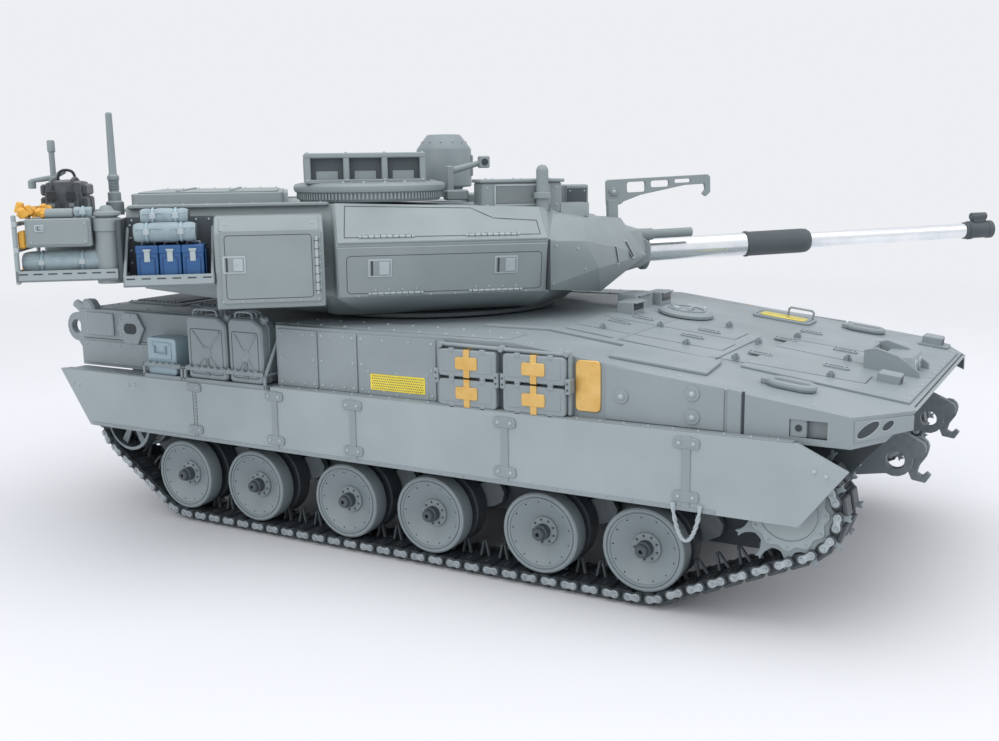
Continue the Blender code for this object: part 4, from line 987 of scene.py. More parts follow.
boxSettings = {"columns": ((76.9, 107.3), (110.9, 141.9)), "rows": ((84.5, 96.9), (98.3, 110.6)),
               "back": -110.3, "front": -115.3}


def addBoxRack(s):
    rack = bmesh.new()
    back, front = s["back"], s["front"]
    slab(rack, rounded(75.0, 143.0, 84.4, 110.9, 1.0), 0.02, 1.5, "XY", 0.2, 2,
         panelPlace((0, back, 0), (1, 0, 0), (0, 0, 1)))
    for low, high in s["columns"]:
        middle = (low + high) / 2
        for floor, top in s["rows"]:
            slab(rack, rounded(low, high, floor, top, 1.5, 3), front, back - 0.5, "XZ", 0.55)
            for start, end in ((low + 2.2, middle - 3.0), (middle + 3.0, high - 2.2)):
                slab(rack, rounded(start, end, floor + 2.2, top - 2.2, 0.9), front - 0.25, front + 0.3, "XZ",
                     0.2)
            # etched brass strap round the middle of each box, with its wide cross plate
            block(rack, (middle - 1.6, middle + 1.6), (front - 0.45, front + 0.2), (floor - 0.3, top + 0.3),
                  0.12, 4)
            block(rack, (middle - 1.6, middle + 1.6), (front, back - 0.6), (top, top + 0.35), 0.1, 4)
            slab(rack, rounded(middle - 5.8, middle + 5.8, floor + 3.4, floor + 9.2, 1.0, 3), front - 0.75,
                 front,
                 "XZ", 0.15, 4)
            for x in (middle - 8.2, middle + 8.2):
                for z in (top - 1.2, floor - 0.8):
                    block(rack, (x - 1.4, x + 1.4), (front - 0.3, front + 1.0), (z, z + 2.0), 0.3)
    # clamps at the joint between the rows, each with two holes, and the rail above
    for x in (75.6, 107.4, 110.8, 143.1):
        block(rack, (x - 1.3, x + 1.3), (front - 0.4, back - 0.4), (94.6, 101.4), 0.4, 0)
        for z in (96.6, 99.4):
            rod(rack, (x, front - 0.3, z), (x, front - 0.5, z), 0.5, 0.5, 10, 0, 1)
    for x in (76.0, 143.0):
        block(rack, (x - 0.8, x + 0.8), (front + 2.0, back - 0.4), (85.0, 112.0), 0.2, 0)
    rod(rack, (76.0, front + 2.6, 112.6), (142.6, front + 2.6, 111.6), 0.9, 0.9, 12, 0.1)
    for x in (77.0, 109.0, 141.6):
        rod(rack, (x, front + 1.0, 112.2), (x, back - 0.4, 112.2), 1.5, 1.5, 14, 0.3)
    finishPiece(rack, "boxRack", hullSpace, "hull", hullPaint, ("sponson_boxes",), -1)


addBoxRack(boxSettings)
print("hull sides ready")

rackSettings = {"inner": -102.3, "outer": -116.0, "floor": 82.3, "front": -27.3}


def addCan(target, low, high, floor, top, inner, outer):
    # a pressed steel can: rounded shoulders, three grips, a cap and the crossed stamping on its face
    outline = [(low + 1.6, floor), (high - 1.6, floor), (high, floor + 1.6), (high, top - 6.0),
               (high - 1.2, top - 4.2),
               (high - 6.0, top - 1.2), (low + 1.8, top - 1.2), (low, top - 3.2), (low, floor + 1.6)]
    slab(target, outline, outer, inner, "XZ", 0.9)
    seamLine(target, (low + 1.0, (outer + inner) / 2), (high - 1.0, (outer + inner) / 2), floor + 0.2, 0.5, 1)
    # the welded seam round the narrow sides and top
    middle = (outer + inner) / 2
    slab(target, [(u + (0.35 if u > (low + high) / 2 else -0.35),
                   v + (0.35 if v > (floor + top) / 2 else -0.1))
                  for u, v in outline], middle - 0.35, middle + 0.35, "XZ", 0.1)
    field = rounded(low + 2.4, high - 2.4, floor + 2.8, top - 7.6, 1.6)
    seamLoop(target, field, 0.05, 0.5, 2, panelPlace((0, outer, 0), (1, 0, 0), (0, 0, 1)))
    centreX, centreZ = (low + high) / 2, (floor + top) / 2 - 2.6
    reachX, reachZ = (high - low) / 2 - 4.2, (top - floor) / 2 - 6.4
    for a, b in (((-1, -1), (1, 1)), ((-1, 1), (1, -1))):
        rod(target, (centreX + a[0] * reachX, outer + 0.1, centreZ + a[1] * reachZ),
            (centreX + b[0] * reachX, outer + 0.1, centreZ + b[1] * reachZ), 0.75, 0.75, 10, 0.2)
    rod(target, (centreX, outer + 0.3, centreZ), (centreX, outer - 0.5, centreZ), 3.4, 3.0, 20, 0.2)
    for y in (middle - 3.4, middle, middle + 3.4):
        wire(target, [(low + 3.4, y, top - 1.4), (low + 4.0, y, top + 1.4), (low + 6.0, y, top + 2.2),
                      (high - 10.0, y, top + 2.2), (high - 8.0, y, top + 1.4), (high - 7.4, y, top - 1.4)],
             0.62, 2)
    rod(target, (high - 3.6, middle, top - 3.6), (high - 2.0, middle, top - 0.4), 2.3, 2.1, 14, 0.2)
    block(target, (high - 5.4, high - 0.6), (middle - 0.7, middle + 0.7), (top - 1.4, top - 0.2), 0.2)


def addStowageRack(s, side, mirrorSign):
    rack = bmesh.new()
    inner, outer, floor, front = s["inner"], s["outer"], s["floor"], s["front"]
    block(rack, (-114.3, front - 0.2), (outer + 0.2, inner), (floor, floor + 1.4), 0.2)
    for low, high in ((-114.3, -85.0), (-83.8, front)):
        for z in (floor + 1.0, floor + 7.2):
            rod(rack, (low, outer + 0.7, z), (high, outer + 0.7, z), 0.75, 0.75, 10)
        for x in (low + 0.7, high - 0.7):
            block(rack, (x - 0.8, x + 0.8), (outer, outer + 1.4), (floor + 0.2, floor + 8.2), 0.2)
        for z in (floor + 1.0, floor + 7.2):
            block(rack, (low, high), (outer, outer + 1.2), (z - 1.0, z + 1.0), 0.2)
        # small round scallops along the top rail
        for i in range(int((high - low - 4.0) / 4.6)):
            x = low + 4.2 + i * 4.6
            rod(rack, (x, outer + 0.05, floor + 8.0), (x, outer + 1.15, floor + 8.0), 1.2, 1.2, 16, 0.15)
        # thicker sleeves, evenly spaced along the same rail
        steps = 5 if high < -80 else 9
        width = (high - low) / steps
        for i in range(steps):
            x = low + (i + 0.5) * width
            rod(rack, (x - width * 0.3, outer + 0.7, floor + 7.6),
                (x + width * 0.3, outer + 0.7, floor + 7.6),
                1.05, 1.05, 10, 0.2)
        for x in (low, high):
            rod(rack, (x, outer + 0.7, floor + 0.8), (x, inner, floor + 0.8), 0.7, 0.7, 8)
            rod(rack, (x, outer + 0.7, floor + 7.2), (x, inner, floor + 7.2), 0.7, 0.7, 8)
    # brace and dark post that close the front end
    rod(rack, (front, outer + 0.7, floor + 7.4), (front + 1.4, inner - 0.4, 113.0), 0.9, 0.9, 8)
    block(rack, (front + 1.2, front + 3.0), (inner - 1.2, inner), (floor + 1.0, 113.6), 0.2, 2)
    for low, high in ((-81.8, -54.2), (-52.6, -29.8)):
        addCan(rack, low, high, floor + 1.5, 118.6, inner - 0.4, outer + 1.7)
    for x in (-67.8, -41.2):
        block(rack, (x - 1.3, x + 1.3), (outer + 1.3, outer + 1.8), (floor + 4.0, 100.0), 0.12, 8)
    # pale-blue box with a raised panel and a wire grip
    slab(rack, rounded(-112.6, -91.6, floor + 1.5, 104.0, 1.6), outer + 2.6, inner - 0.6, "XZ", 0.5, 9)
    field = panelPlace((0, outer + 2.6, 0), (1, 0, 0), (0, 0, 1))
    slab(rack, rounded(-109.6, -94.6, 92.4, 101.6, 1.4), -0.1, 0.5, "XY", 0.2, 9, field)
    grip = [(-106.2, 2.2, 99.6), (-106.2, 1.2, 99.0), (-106.2, 1.2, 95.6), (-98.0, 1.2, 95.6),
            (-98.0, 1.2, 99.0),
            (-98.0, 2.2, 99.6)]
    wire(rack, [(x, outer + out, z) for x, out, z in grip], 0.55, 2, False, False, 9)
    for x in (-108.2, -96.0):
        bolt(rack, (x, outer + 2.1, 100.2), (0, -1, 0), 0.6, 0.4, 6, 9)
    finishPiece(rack, f"stowage_{side}", hullSpace, "hull", hullPaint + [lightBlueBox],
                (f"stowage_rack_{side}",), mirrorSign)
    # rear end of the side: ported flange, eye surround and the rounded horn above it
    rear = bmesh.new()
    wall = panelPlace((0, -102.0, 0), (1, 0, 0), (0, 0, 1))
    hexagon = [(x, min(z, 114.4)) for x, z in ring(10.6, 6, 0.0, (-136.0, 106.0))]
    slab(rear, hexagon, -0.1, 1.4, "XY", 0.3, 0, wall)
    slab(rear, rounded(-141.0, -131.0, 102.6, 108.6, 2.9, 5), 1.2, 1.48, "XY", 0, 1, wall)
    for x, z in ring(8.6, 6, math.pi / 6, (-136.0, 106.0)):
        bolt(rear, (x, -103.4, min(z, 112.8)), (0, -1, 0), 0.7, 0.5, 6, 3)
    seamLine(rear, (-176.0, 98.4), (-116.6, 98.4), 0.06, 0.4, 1, wall)
    slab(rear, rounded(-176.4, -118.0, 84.0, 97.0, 1.0), -0.1, 0.7, "XY", 0.25, 0, wall)
    for x in range(-173, -118, 9):
        bolt(rear, (x, -102.7, 95.0), (0, -1, 0), 0.6, 0.45, 6, 3)
    slab(rear, rounded(-173.0, -150.0, 100.4, 113.4, 1.2), -0.1, 0.9, "XY", 0.25, 0, wall)
    for z in (102.4, 111.4):
        for x in (-171.0, -152.0):
            bolt(rear, (x, -102.9, z), (0, -1, 0), 0.7, 0.5, 6, 3)
    slab(rear, [(-176.6, 108.0), (-166.0, 108.0), (-166.0, 115.0), (-170.0, 120.4), (-176.6, 120.4)],
         -101.6, -95.0, "XZ", 1.2)
    rod(rear, (-177.0, -98.3, 113.8), (-185.0, -98.3, 117.6), 3.1, 2.4, 16, 0.5)
    finishPiece(rear, f"rearSide_{side}", hullSpace, "hull", hullPaint, (), mirrorSign)


for side, mirrorSign in sides:
    addStowageRack(rackSettings, side, mirrorSign)
print("side racks ready")

deckSettings = {"knee": (112.0, 115.0), "nose": (280.4, 92.8)}
kneeX, kneeZ = deckSettings["knee"]
noseX, noseZ = deckSettings["nose"]
glacisSlope = math.atan2(kneeZ - noseZ, noseX - kneeX)
glacis = panelPlace((kneeX, 0, kneeZ), (noseX - kneeX, 0, noseZ - kneeZ), (0, 1, 0))


def down(x):
    return (x - kneeX) / math.cos(glacisSlope)


def onDeck(points):
    return [(down(x), y) for x, y in points]


def addDeck():
    deck = bmesh.new()
    # the raised deck plate, its ridges and the doors let into it
    for points, height, bevel in (([(203, -63), (276, -67), (276.5, 73), (203, 73)], 1.1, 0.3),
                                  ([(155, -99.0), (198, -93.5), (195, -64.5), (150, -66)], 1.6, 0.4),
                                  ([(114, -58), (190, -60), (190, 15), (114, 15)], 0.7, 0.25)):
        slab(deck, onDeck(points), -0.1, height, "XY", bevel, 0, glacis)
    block(deck, (77.0, 112.4), (-71.4, -66.4), (114.8, 116.2), 0.3)
    slab(deck, onDeck([(112, -71.4), (152, -71.0), (152, -66.4), (112, -66.4)]), -0.1, 1.3, "XY", 0.3, 0,
         glacis)
    for points, level in (
            ([(113.8, -46.7), (186.8, -39.3), (186.8, -19.6)], 0.76),
            ([(114.4, -13), (182.9, -7.5), (182.8, 14.5)], 0.76), ([(186.8, -57.8), (203.0, -55.6)], 0.76),
            ([(203.2, -55.6), (254.4, -48.7), (253.9, -31.3)], 1.16),
            ([(203.2, -5.0), (246.4, -7.2), (247.1, 15.1)], 1.16),
            ([(203.2, 20.9), (241.9, 24.5), (242.3, 60.0)], 1.16)):
        for a, b in zip(onDeck(points), onDeck(points)[1:]):
            seamLine(deck, a, b, level, 0.5, 1, glacis)
    # slotted round-ended pads, then small upright latches with a cross pin
    for x, y in ((202.5, -30.7), (206.6, 48.3), (201.7, 16.4), (231.6, 15.5), (237.1, -27.7), (244.7, 55.9),
                 (127, -22), (165.8, -22.1), (167, -0.4), (131.1, -0.6)):
        lift = 1.0 if x > 203 else 0.6
        stamp = glacis @ Matrix.Translation((down(x), y, lift))
        slab(deck, rounded(-6.0, 6.0, -2.0, 2.0, 1.9, 5), -0.1, 1.0, "XY", 0.25, 0, stamp)
        slab(deck, rounded(-3.4, 3.4, -0.9, 0.9, 0.5, 4), 0.9, 1.04, "XY", 0, 2, stamp)
        for u in (-4.6, 4.6):
            bolt(deck, (u, 0, 1.0), (0, 0, 1), 0.45, 0.3, 6, 1, stamp)
    for x, y in ((193.6, -4.4), (204.7, 27.2), (237.2, -5.5), (239.5, -49.2), (128, -45.1), (169.9, -42),
                 (197.1, -51.8), (169.7, 23.7), (145.2, -12.5)):
        lift = 1.0 if x > 203 else 0.6
        stamp = glacis @ Matrix.Translation((down(x), y,
                                             lift)) @ Matrix.Rotation(math.radians(x * 7 % 40 - 20), 4, "Z")
        block(deck, (-0.5, 0.5), (-1.5, 1.5), (-0.1, 3.2), 0.2, 0, stamp)
        block(deck, (-1.9, 1.9), (-0.4, 0.4), (-0.1, 1.9), 0.2, 0, stamp)
        rod(deck, (-1.2, 0.8, 2.4), (1.2, 0.8, 2.4), 0.5, 0.5, 8, 0.1, 3, stamp)
    # bolts along the plate's edges and the glacis rim
    for i in range(13):
        bolt(deck, (down(274.9), -62.0 + i * 11.0, 1.1), (0, 0, 1), 0.7, 0.5, 6, 3, glacis)
    for i in range(8):
        for y in (-61.6, 71.2):
            bolt(deck, (down(206.0 + i * 9.5), y, 1.1), (0, 0, 1), 0.6, 0.45, 6, 3, glacis)
    seamLine(deck, (down(278.6), -69.4), (down(278.4), 77.3), 0.06, 0.7, 1, glacis)
    for y in (-104.0, 104.0):
        for i in range(10):
            bolt(deck, (down(120.0 + i * 14.0), y, 0), (0, 0, 1), 0.6, 0.45, 6, 3, glacis)
    # yellow-inlaid hatch plate with its grab handle
    slab(deck, onDeck(rounded(167, 199, 73, 93, 2.2)), -0.1, 1.5, "XY", 0.35, 0, glacis)
    slab(deck, onDeck(rounded(170.4, 195.6, 75.6, 86.6, 2.4)), 1.4, 1.9, "XY", 0.15, 5, glacis)
    seamLoop(deck, onDeck(rounded(168.4, 197.6, 74.2, 91.8, 1.6)), 1.56, 0.5, 1, glacis)
    wire(deck, [(down(183), 90.0, 1.2), (down(183), 90.0, 5.0), (down(184), 90.0, 6.0),
                (down(196), 90.0, 6.0),
                (down(197), 90.0, 5.0), (down(197), 90.0, 1.2)], 0.65, 2, False, False, 0, glacis)
    # the engine deck behind the turret: louvred grilles and bolted covers
    for low, high in ((-174.0, -128.0), (-124.0, -84.0)):
        for y0, y1 in ((-70.0, -4.0), (4.0, 70.0)):
            slab(deck, rounded(low, high, y0, y1, 2.0), 114.9, 116.0, "XY", 0.3)
            steps = int((high - low - 8.0) / 3.2)
            for i in range(steps):
                x = low + 4.6 + i * 3.2
                block(deck, (x, x + 1.9), (y0 + 4.0, y1 - 4.0), (115.9, 116.9), 0.15)
            for x in (low + 2.0, high - 2.0):
                for y in (y0 + 2.0, (y0 + y1) / 2, y1 - 2.0):
                    bolt(deck, (x, y, 116.0), (0, 0, 1), 0.8, 0.55, 6, 3)
    for y in (-88.0, 88.0):
        slab(deck, rounded(-172.0, -90.0, y - 9.0, y + 9.0, 1.8), 114.9, 115.8, "XY", 0.3)
        for x in (-168.0, -131.0, -94.0):
            for edge in (y - 6.0, y + 6.0):
                bolt(deck, (x, edge, 115.8), (0, 0, 1), 0.8, 0.55, 6, 3)
    for y in (-95.0, 95.0):
        slab(deck, rounded(-20.0, 108.0, y - 10.0, y + 10.0, 1.6), 114.9, 115.5, "XY", 0.25)
        for i in range(9):
            for edge in (y - 8.0, y + 8.0):
                bolt(deck, (-15.0 + i * 14.8, edge, 115.5), (0, 0, 1), 0.65, 0.5, 6, 3)
    # periscope housings: hooded boxes with glass faces
    for y0, y1, x0, top in ((26.0, 46.0, 107.0, 122.2), (50.0, 66.0, 112.0, 121.6),
                            (4.0, 20.0, 114.0, 121.0)):
        block(deck, (x0, x0 + 9.4), (y0, y1), (113.4, top - 0.1), 0.5)
        block(deck, (x0 + 9.3, x0 + 9.7), (y0 + 1.8, y1 - 1.8), (116.4, top - 1.4), 0, 7)
        block(deck, (x0 + 6.4, x0 + 11.2), (y0 + 0.6, y1 - 0.6), (top - 1.0, top - 0.3), 0.2)
    # lamps and lifting eyes at the nose
    cheek = [(246.5, 97.0), (246.5, 106.6), (252.0, 108.0), (262.0, 104.8), (271.6, 97.8), (271.6, 93.4)]
    for low, high in ((-14.4, -13.0), (12.0, 13.4)):
        slab(deck, cheek, low, high, "XZ", 0.35)
    block(deck, (247.0, 249.0), (-13.4, 12.4), (97.6, 106.6), 0.3)
    block(deck, (252.4, 267.6), (-12.4, 11.4), (95.4, 102.8), 0.6)
    for y in (-6.4, 5.4):
        rod(deck, (266.0, y, 98.8), (268.8, y, 98.8), 3.5, 3.5, 24, 0.3, 3)
        rod(deck, (268.3, y, 98.8), (269.0, y, 98.8), 2.8, 2.5, 24, 0.2, 6)
    for x, y in ((231.0, -82.0), (226.0, 91.0)):
        base = glacis @ Matrix.Translation((down(x), y, 0))
        wire(deck, [(u, v, 1.5) for u, v in rounded(-9.0, 9.0, -4.8, 4.8, 4.6, 6)], 1.7, 3, False, True, 0,
             base)
        block(deck, (-12.6, -7.6), (-2.8, 2.8), (-0.1, 2.6), 0.5, 0, base)
    for x, y, w in ((262.0, -35.0, 4.4), (262.0, 86.0, 5.0)):
        base = glacis @ Matrix.Translation((down(x), y, 0))
        block(deck, (-5.0, 5.0), (-w, w), (-0.1, 5.4), 0.6, 0, base)
        block(deck, (4.8, 5.1), (-w + 1.0, w - 1.0), (1.2, 4.4), 0, 2, base)
        slab(deck, rounded(-6.4, 8.4, -w - 1.6, w + 1.6, 0.8), -0.1, 1.3, "XY", 0.15, 0, base)
    # nose plate: a bolted bead under the edge and the towing pads
    noseDown = panelPlace((noseX, 0, noseZ), (0, 1, 0), (36.2, 0, 42.6))
    for y in range(-66, 67, 12):
        for v in (-7.0, -36.0):
            bolt(deck, (y, v, 0), (0, 0, 1), 0.75, 0.55, 6, 3, noseDown)
    for y in (-45.0, 45.0):
        slab(deck, rounded(y - 8.0, y + 8.0, -34.0, -12.4, 1.6), -0.1, 0.4, "XY", 0.15, 0, noseDown)
    finishPiece(deck, "deckDetail", hullSpace, "hull", hullPaint, (), -1)


addDeck()


def addDriverHatch():
    # a domed lid with a rolled rim, a ring of bolts, a hinge block with its pin, a grab handle and a rubber buffer
    lid = bmesh.new()
    place = glacis @ Matrix.Translation((down(141.0), 37.0, 0.5))
    lathe(lid, [(0.0, 2.7), (12.4, 2.7), (13.4, 2.4), (15.0, 1.5), (15.0, 0.1), (0.0, 0.1)], 40, None, place)
    lathe(lid, [(9.4, 2.6), (9.4, 3.2), (10.2, 3.2), (10.2, 2.6)], 40, None, place)
    for x, y in ring(12.2, 12):
        bolt(lid, (x, y, 2.6), (0, 0, 1), 0.5, 0.4, 6, 1, place)
    block(lid, (-4.0, 4.0), (13.2, 19.0), (0.2, 2.4), 0.3, 0, place)
    rod(lid, (-5.6, 18.0, 1.4), (5.6, 18.0, 1.4), 1.3, 1.3, 12, 0.2, 1, place)
    wire(lid, [(3.0, -6.0, 2.2), (3.0, -6.0, 4.4), (3.0, 2.0, 4.4), (3.0, 2.0, 2.2)], 0.55, 2, False, False,
         1, place)
    rod(lid, (-5.0, -3.0, 2.6), (-5.0, -3.0, 3.9), 2.3, 2.1, 18, 0.2, 1, place)
    finishPiece(lid, "driverLid", hullSpace, "hatch", [hullGrey, smallPartHighlightGrey],
                ("driver_hatch",), -1)


addDriverHatch()
print("deck ready")

rearSettings = {"plate": -178.0}


def addRear(s):
    rear = bmesh.new()
    x = s["plate"]
    wall = panelPlace((x, 0, 0), (0, -1, 0), (0, 0, 1))
    # two louvred outlets, a coupling plate and the lamps
    for v0, v1 in ((-62.0, -8.0), (8.0, 62.0)):
        slab(rear, rounded(v0, v1, 90.0, 110.0, 1.8), -0.1, 1.4, "XY", 0.35, 0, wall)
        slab(rear, rounded(v0 + 2.4, v1 - 2.4, 92.4, 107.6, 1.0), 1.3, 1.46, "XY", 0, 1, wall)
        for i in range(5):
            block(rear, (v0 + 2.6, v1 - 2.6), (93.2 + i * 3.0, 94.9 + i * 3.0), (0.8, 2.4), 0.2, 0, wall)
        for u in (v0 + 1.2, (v0 + v1) / 2, v1 - 1.2):
            for v in (91.2, 108.8):
                bolt(rear, (u, v, 1.4), (0, 0, 1), 0.7, 0.5, 6, 3, wall)
    for u in (-76.0, 76.0):
        block(rear, (u - 5.0, u + 5.0), (97.0, 108.0), (-0.1, 3.2), 0.6, 0, wall)
        for lamp in (u - 2.2, u + 2.2):
            rod(rear, (lamp, 102.6, 3.0), (lamp, 102.6, 3.7), 1.7, 1.5, 16, 0.1, 6, wall)
    block(rear, (-5.0, 5.0), (88.0, 98.0), (-0.1, 2.6), 0.5, 0, wall)
    rod(rear, (0, 93.0, 2.4), (0, 93.0, 5.4), 2.6, 2.6, 20, 0.4, 8, wall)
    finishPiece(rear, "rearDetail", hullSpace, "hull", hullPaint, (), -1)


addRear(rearSettings)
print("hull ready")
# paint 3 is the lighter grey, a painted highlight on small raised parts
turretPaint = [turretGrey, seamDark, shadeGrey, smallPartHighlightGrey, panelGrey, yellowMesh, glass, lensAndHollowShadeDark, hookGrey,
               orangeResin]
softenedPiece("turret_shell", "turretShell", "turret", turretPaint, 0.5)
softenedPiece("turret_ring", "turretRing", "turret", [shadeGrey], 0.3)

lowerFace = panelPlace((0, -91.0, 130.0), (1, 0, 0), (0, -6.0, 26.0))
moduleSettings = {"rear": -57.6, "front": 46.4, "ridgeY": -97.0, "ridgeZ": 156.0, "lift": 1.3,
                  "span": (-58.0, 104.7),
                  "topRear": (-78.0, 175.5), "topFront": (-76.0, 171.5)}


def skinPoint(s, along, up, lift=0.0):
    # the module's twisted upper face: along runs from its rear to its front edge, up from ridge to roof
    t = (along - s["span"][0]) / s["span"][1]
    topY = s["topRear"][0] + (s["topFront"][0] - s["topRear"][0]) * t
    topZ = s["topRear"][1] + (s["topFront"][1] - s["topRear"][1]) * t
    out = Vector((0.0, s["ridgeZ"] - topZ, topY - s["ridgeY"])).normalized()
    point = Vector((along, s["ridgeY"] + (topY - s["ridgeY"]) * up, s["ridgeZ"] + (topZ - s["ridgeZ"]) * up))
    return point + Vector((0.0, out.y, out.z)) * lift


def skinPlace(s, along, up, lift):
    here = skinPoint(s, along, up, lift)
    beside = skinPoint(s, along + 1.0, up, lift) - here
    above = skinPoint(s, along, up + 0.05, lift) - here
    return panelPlace(here, beside, above)


def skinPlate(target, s, corners, low, high, paint=0, bevel=0.3, steps=8):
    # a plate laid on the twisted face; corners run rear-low, front-low, front-high, rear-high
    part = bmesh.new()
    rows = []
    for i in range(steps + 1):
        t = i / steps
        a = [corners[0][k] + (corners[1][k] - corners[0][k]) * t for k in range(2)]
        b = [corners[3][k] + (corners[2][k] - corners[3][k]) * t for k in range(2)]
        rows.append([part.verts.new(skinPoint(s, a[0], a[1], low)),
                     part.verts.new(skinPoint(s, a[0], a[1], high)),
                     part.verts.new(skinPoint(s, b[0], b[1], high)),
                     part.verts.new(skinPoint(s, b[0], b[1], low))])
    for first, second in zip(rows, rows[1:]):
        for k in range(4):
            part.faces.new((first[k], second[k], second[(k + 1) % 4], first[(k + 1) % 4]))
    part.faces.new(rows[0][::-1])
    part.faces.new(rows[-1])
    bmesh.ops.recalc_face_normals(part, faces=part.faces)
    soften(part, bevel)
    merge(target, part, paint)


def addHinge(target, place, length=27.0):
    # a piano hinge: a thin knuckled barrel, with bolts along the leaf above it
    rod(target, (-length / 2, 0, 0.35), (length / 2, 0, 0.35), 0.55, 0.55, 10, 0.1, 3, place)
    for i in range(9):
        u = -length / 2 + length * (i + 0.5) / 9
        block(target, (u - 0.12, u + 0.12), (-0.65, 0.65), (0.1, 1.0), 0, 1, place)
    for i in range(4):
        bolt(target, (-length / 2 + length * (i + 0.5) / 4, 1.9, 0.0), (0, 0, 1), 0.5, 0.45, 6, 3, place)


def addRecessedLatch(target, place, size):
    # a framed pocket with a push button beside a dark slot
    wide, tall = size * 0.62, size * 0.48
    slab(target, rounded(-wide, wide, -tall, tall, 0.5, 2), -0.1, 0.4, "XY", 0.15, 3, place)
    slab(target, rounded(-wide + 0.7, wide - 0.7, -tall + 0.7, tall - 0.7, 0.3, 2), 0.3, 0.46, "XY", 0, 0,
         place)
    block(target, (-wide + 1.4, -wide + 2.4), (-tall + 0.8, tall - 0.8), (0.3, 0.5), 0, 1, place)
    block(target, (-0.4, wide - 1.3), (-tall + 1.2, tall - 1.2), (0.4, 0.8), 0.15, 3, place)
    rod(target, (1.0, 0, 0.7), (1.0, 0, 1.1), 0.55, 0.5, 10, 0, 3, place)


def addModule(s, side, mirrorSign):
    plate = bmesh.new()
    rear, front = s["rear"], s["front"]
    lift = s["lift"]
    # lower armour plate with its stowage door
    slab(plate, [(rear, 0.4), (front, 0.4), (front, 25.8), (rear, 25.8)], -0.1, 0.8, "XY", 0.35, 0, lowerFace)
    seamLoop(plate, rounded(-53.5, 43.6, 2.2, 21.6, 2.2, 4), 0.86, 0.3, 1, lowerFace)
    for u, v in ((-37.2, 15.2), (25.4, 15.2)):
        addRecessedLatch(plate, lowerFace @ Matrix.Translation((u, v, 0.8)), 9.4)
    for u in (-29.5, 20.5):
        addHinge(plate, lowerFace @ Matrix.Translation((u, 2.2, 0.8)))
    for u in range(-48, 44, 12):
        bolt(plate, (u, 1.0, 0.8), (0, 0, 1), 0.45, 0.35, 6, 3, lowerFace)
    # upper plate over the twisted face, with the long lid and its hinges
    skinPlate(plate, s, ((rear, 0.02), (front, 0.02), (front, 0.985), (rear, 0.985)), -0.6, lift, 0, 0.4)
    lid = [(-54.0, 0.14), (43.0, 0.14), (43.0, 0.55), (21.0, 0.62), (10.5, 0.9), (-52.6, 0.9)]
    for a, b in zip(lid, lid[1:] + lid[:1]):
        steps = 6 if abs(b[0] - a[0]) > 20 else 1
        for i in range(steps):
            p = [a[k] + (b[k] - a[k]) * i / steps for k in range(2)]
            q = [a[k] + (b[k] - a[k]) * (i + 1) / steps for k in range(2)]
            start, end = skinPoint(s, p[0], p[1], lift), skinPoint(s, q[0], q[1], lift)
            face = skinPlace(s, (p[0] + q[0]) / 2, (p[1] + q[1]) / 2, lift)
            inside = face.inverted()
            u, v = inside @ start, inside @ end
            seamLine(plate, (u.x, u.y), (v.x, v.y), 0.12, 0.3, 1, face)
    for along in (-33.5, 19.0):
        addHinge(plate, skinPlace(s, along, 0.14, lift))
    # the joint between the module and the cheek, the cheek's vision slots and its bolts
    block(plate, (46.6, 47.6), (-97.3, -78.0), (131.0, 156.6), 0.1, 1)
    for spot, wide, tall in (((91.2, -61.7, 144.5), 1.0, 9.0), ((102.6, -47.8, 146.2), 1.5, 9.6)):
        slot = skinSpot("turret_shell", turretSpace, Vector(spot) + Vector((19.3, -17.6, 14.7)),
                        (-0.643, 0.588, -0.49),
                        (0.66, 0.75, 0.0))
        slab(plate, rounded(-wide, wide, -tall / 2, tall / 2, 0.7, 3), -0.2, 0.14, "XY", 0, 1, slot)
        seamLoop(plate, rounded(-wide - 0.7, wide + 0.7, -tall / 2 - 0.7, tall / 2 + 0.7, 1.2, 3), 0.16,
                 0.55, 3, slot)
    for s0, z0 in ((50.0, 133.5), (50.0, 153.0), (64.0, 151.0), (70.0, 140.0)):
        spot = skinSpot("turret_shell", turretSpace, (s0 + 10.0, -120.0, z0), (-0.3, 1.0, 0.0),
                        (1.0, 0.0, 0.0))
        bolt(plate, (0, 0, 0), (0, 0, 1), 0.65, 0.5, 6, 3, spot)
    finishPiece(plate, f"module_{side}", turretSpace, "turret", turretPaint, (), mirrorSign)


for side, mirrorSign in sides:
    addModule(moduleSettings, side, mirrorSign)
print("modules ready")

binSettings = {"rear": -115.0, "front": -64.0, "near": -77.3, "far": -97.5}


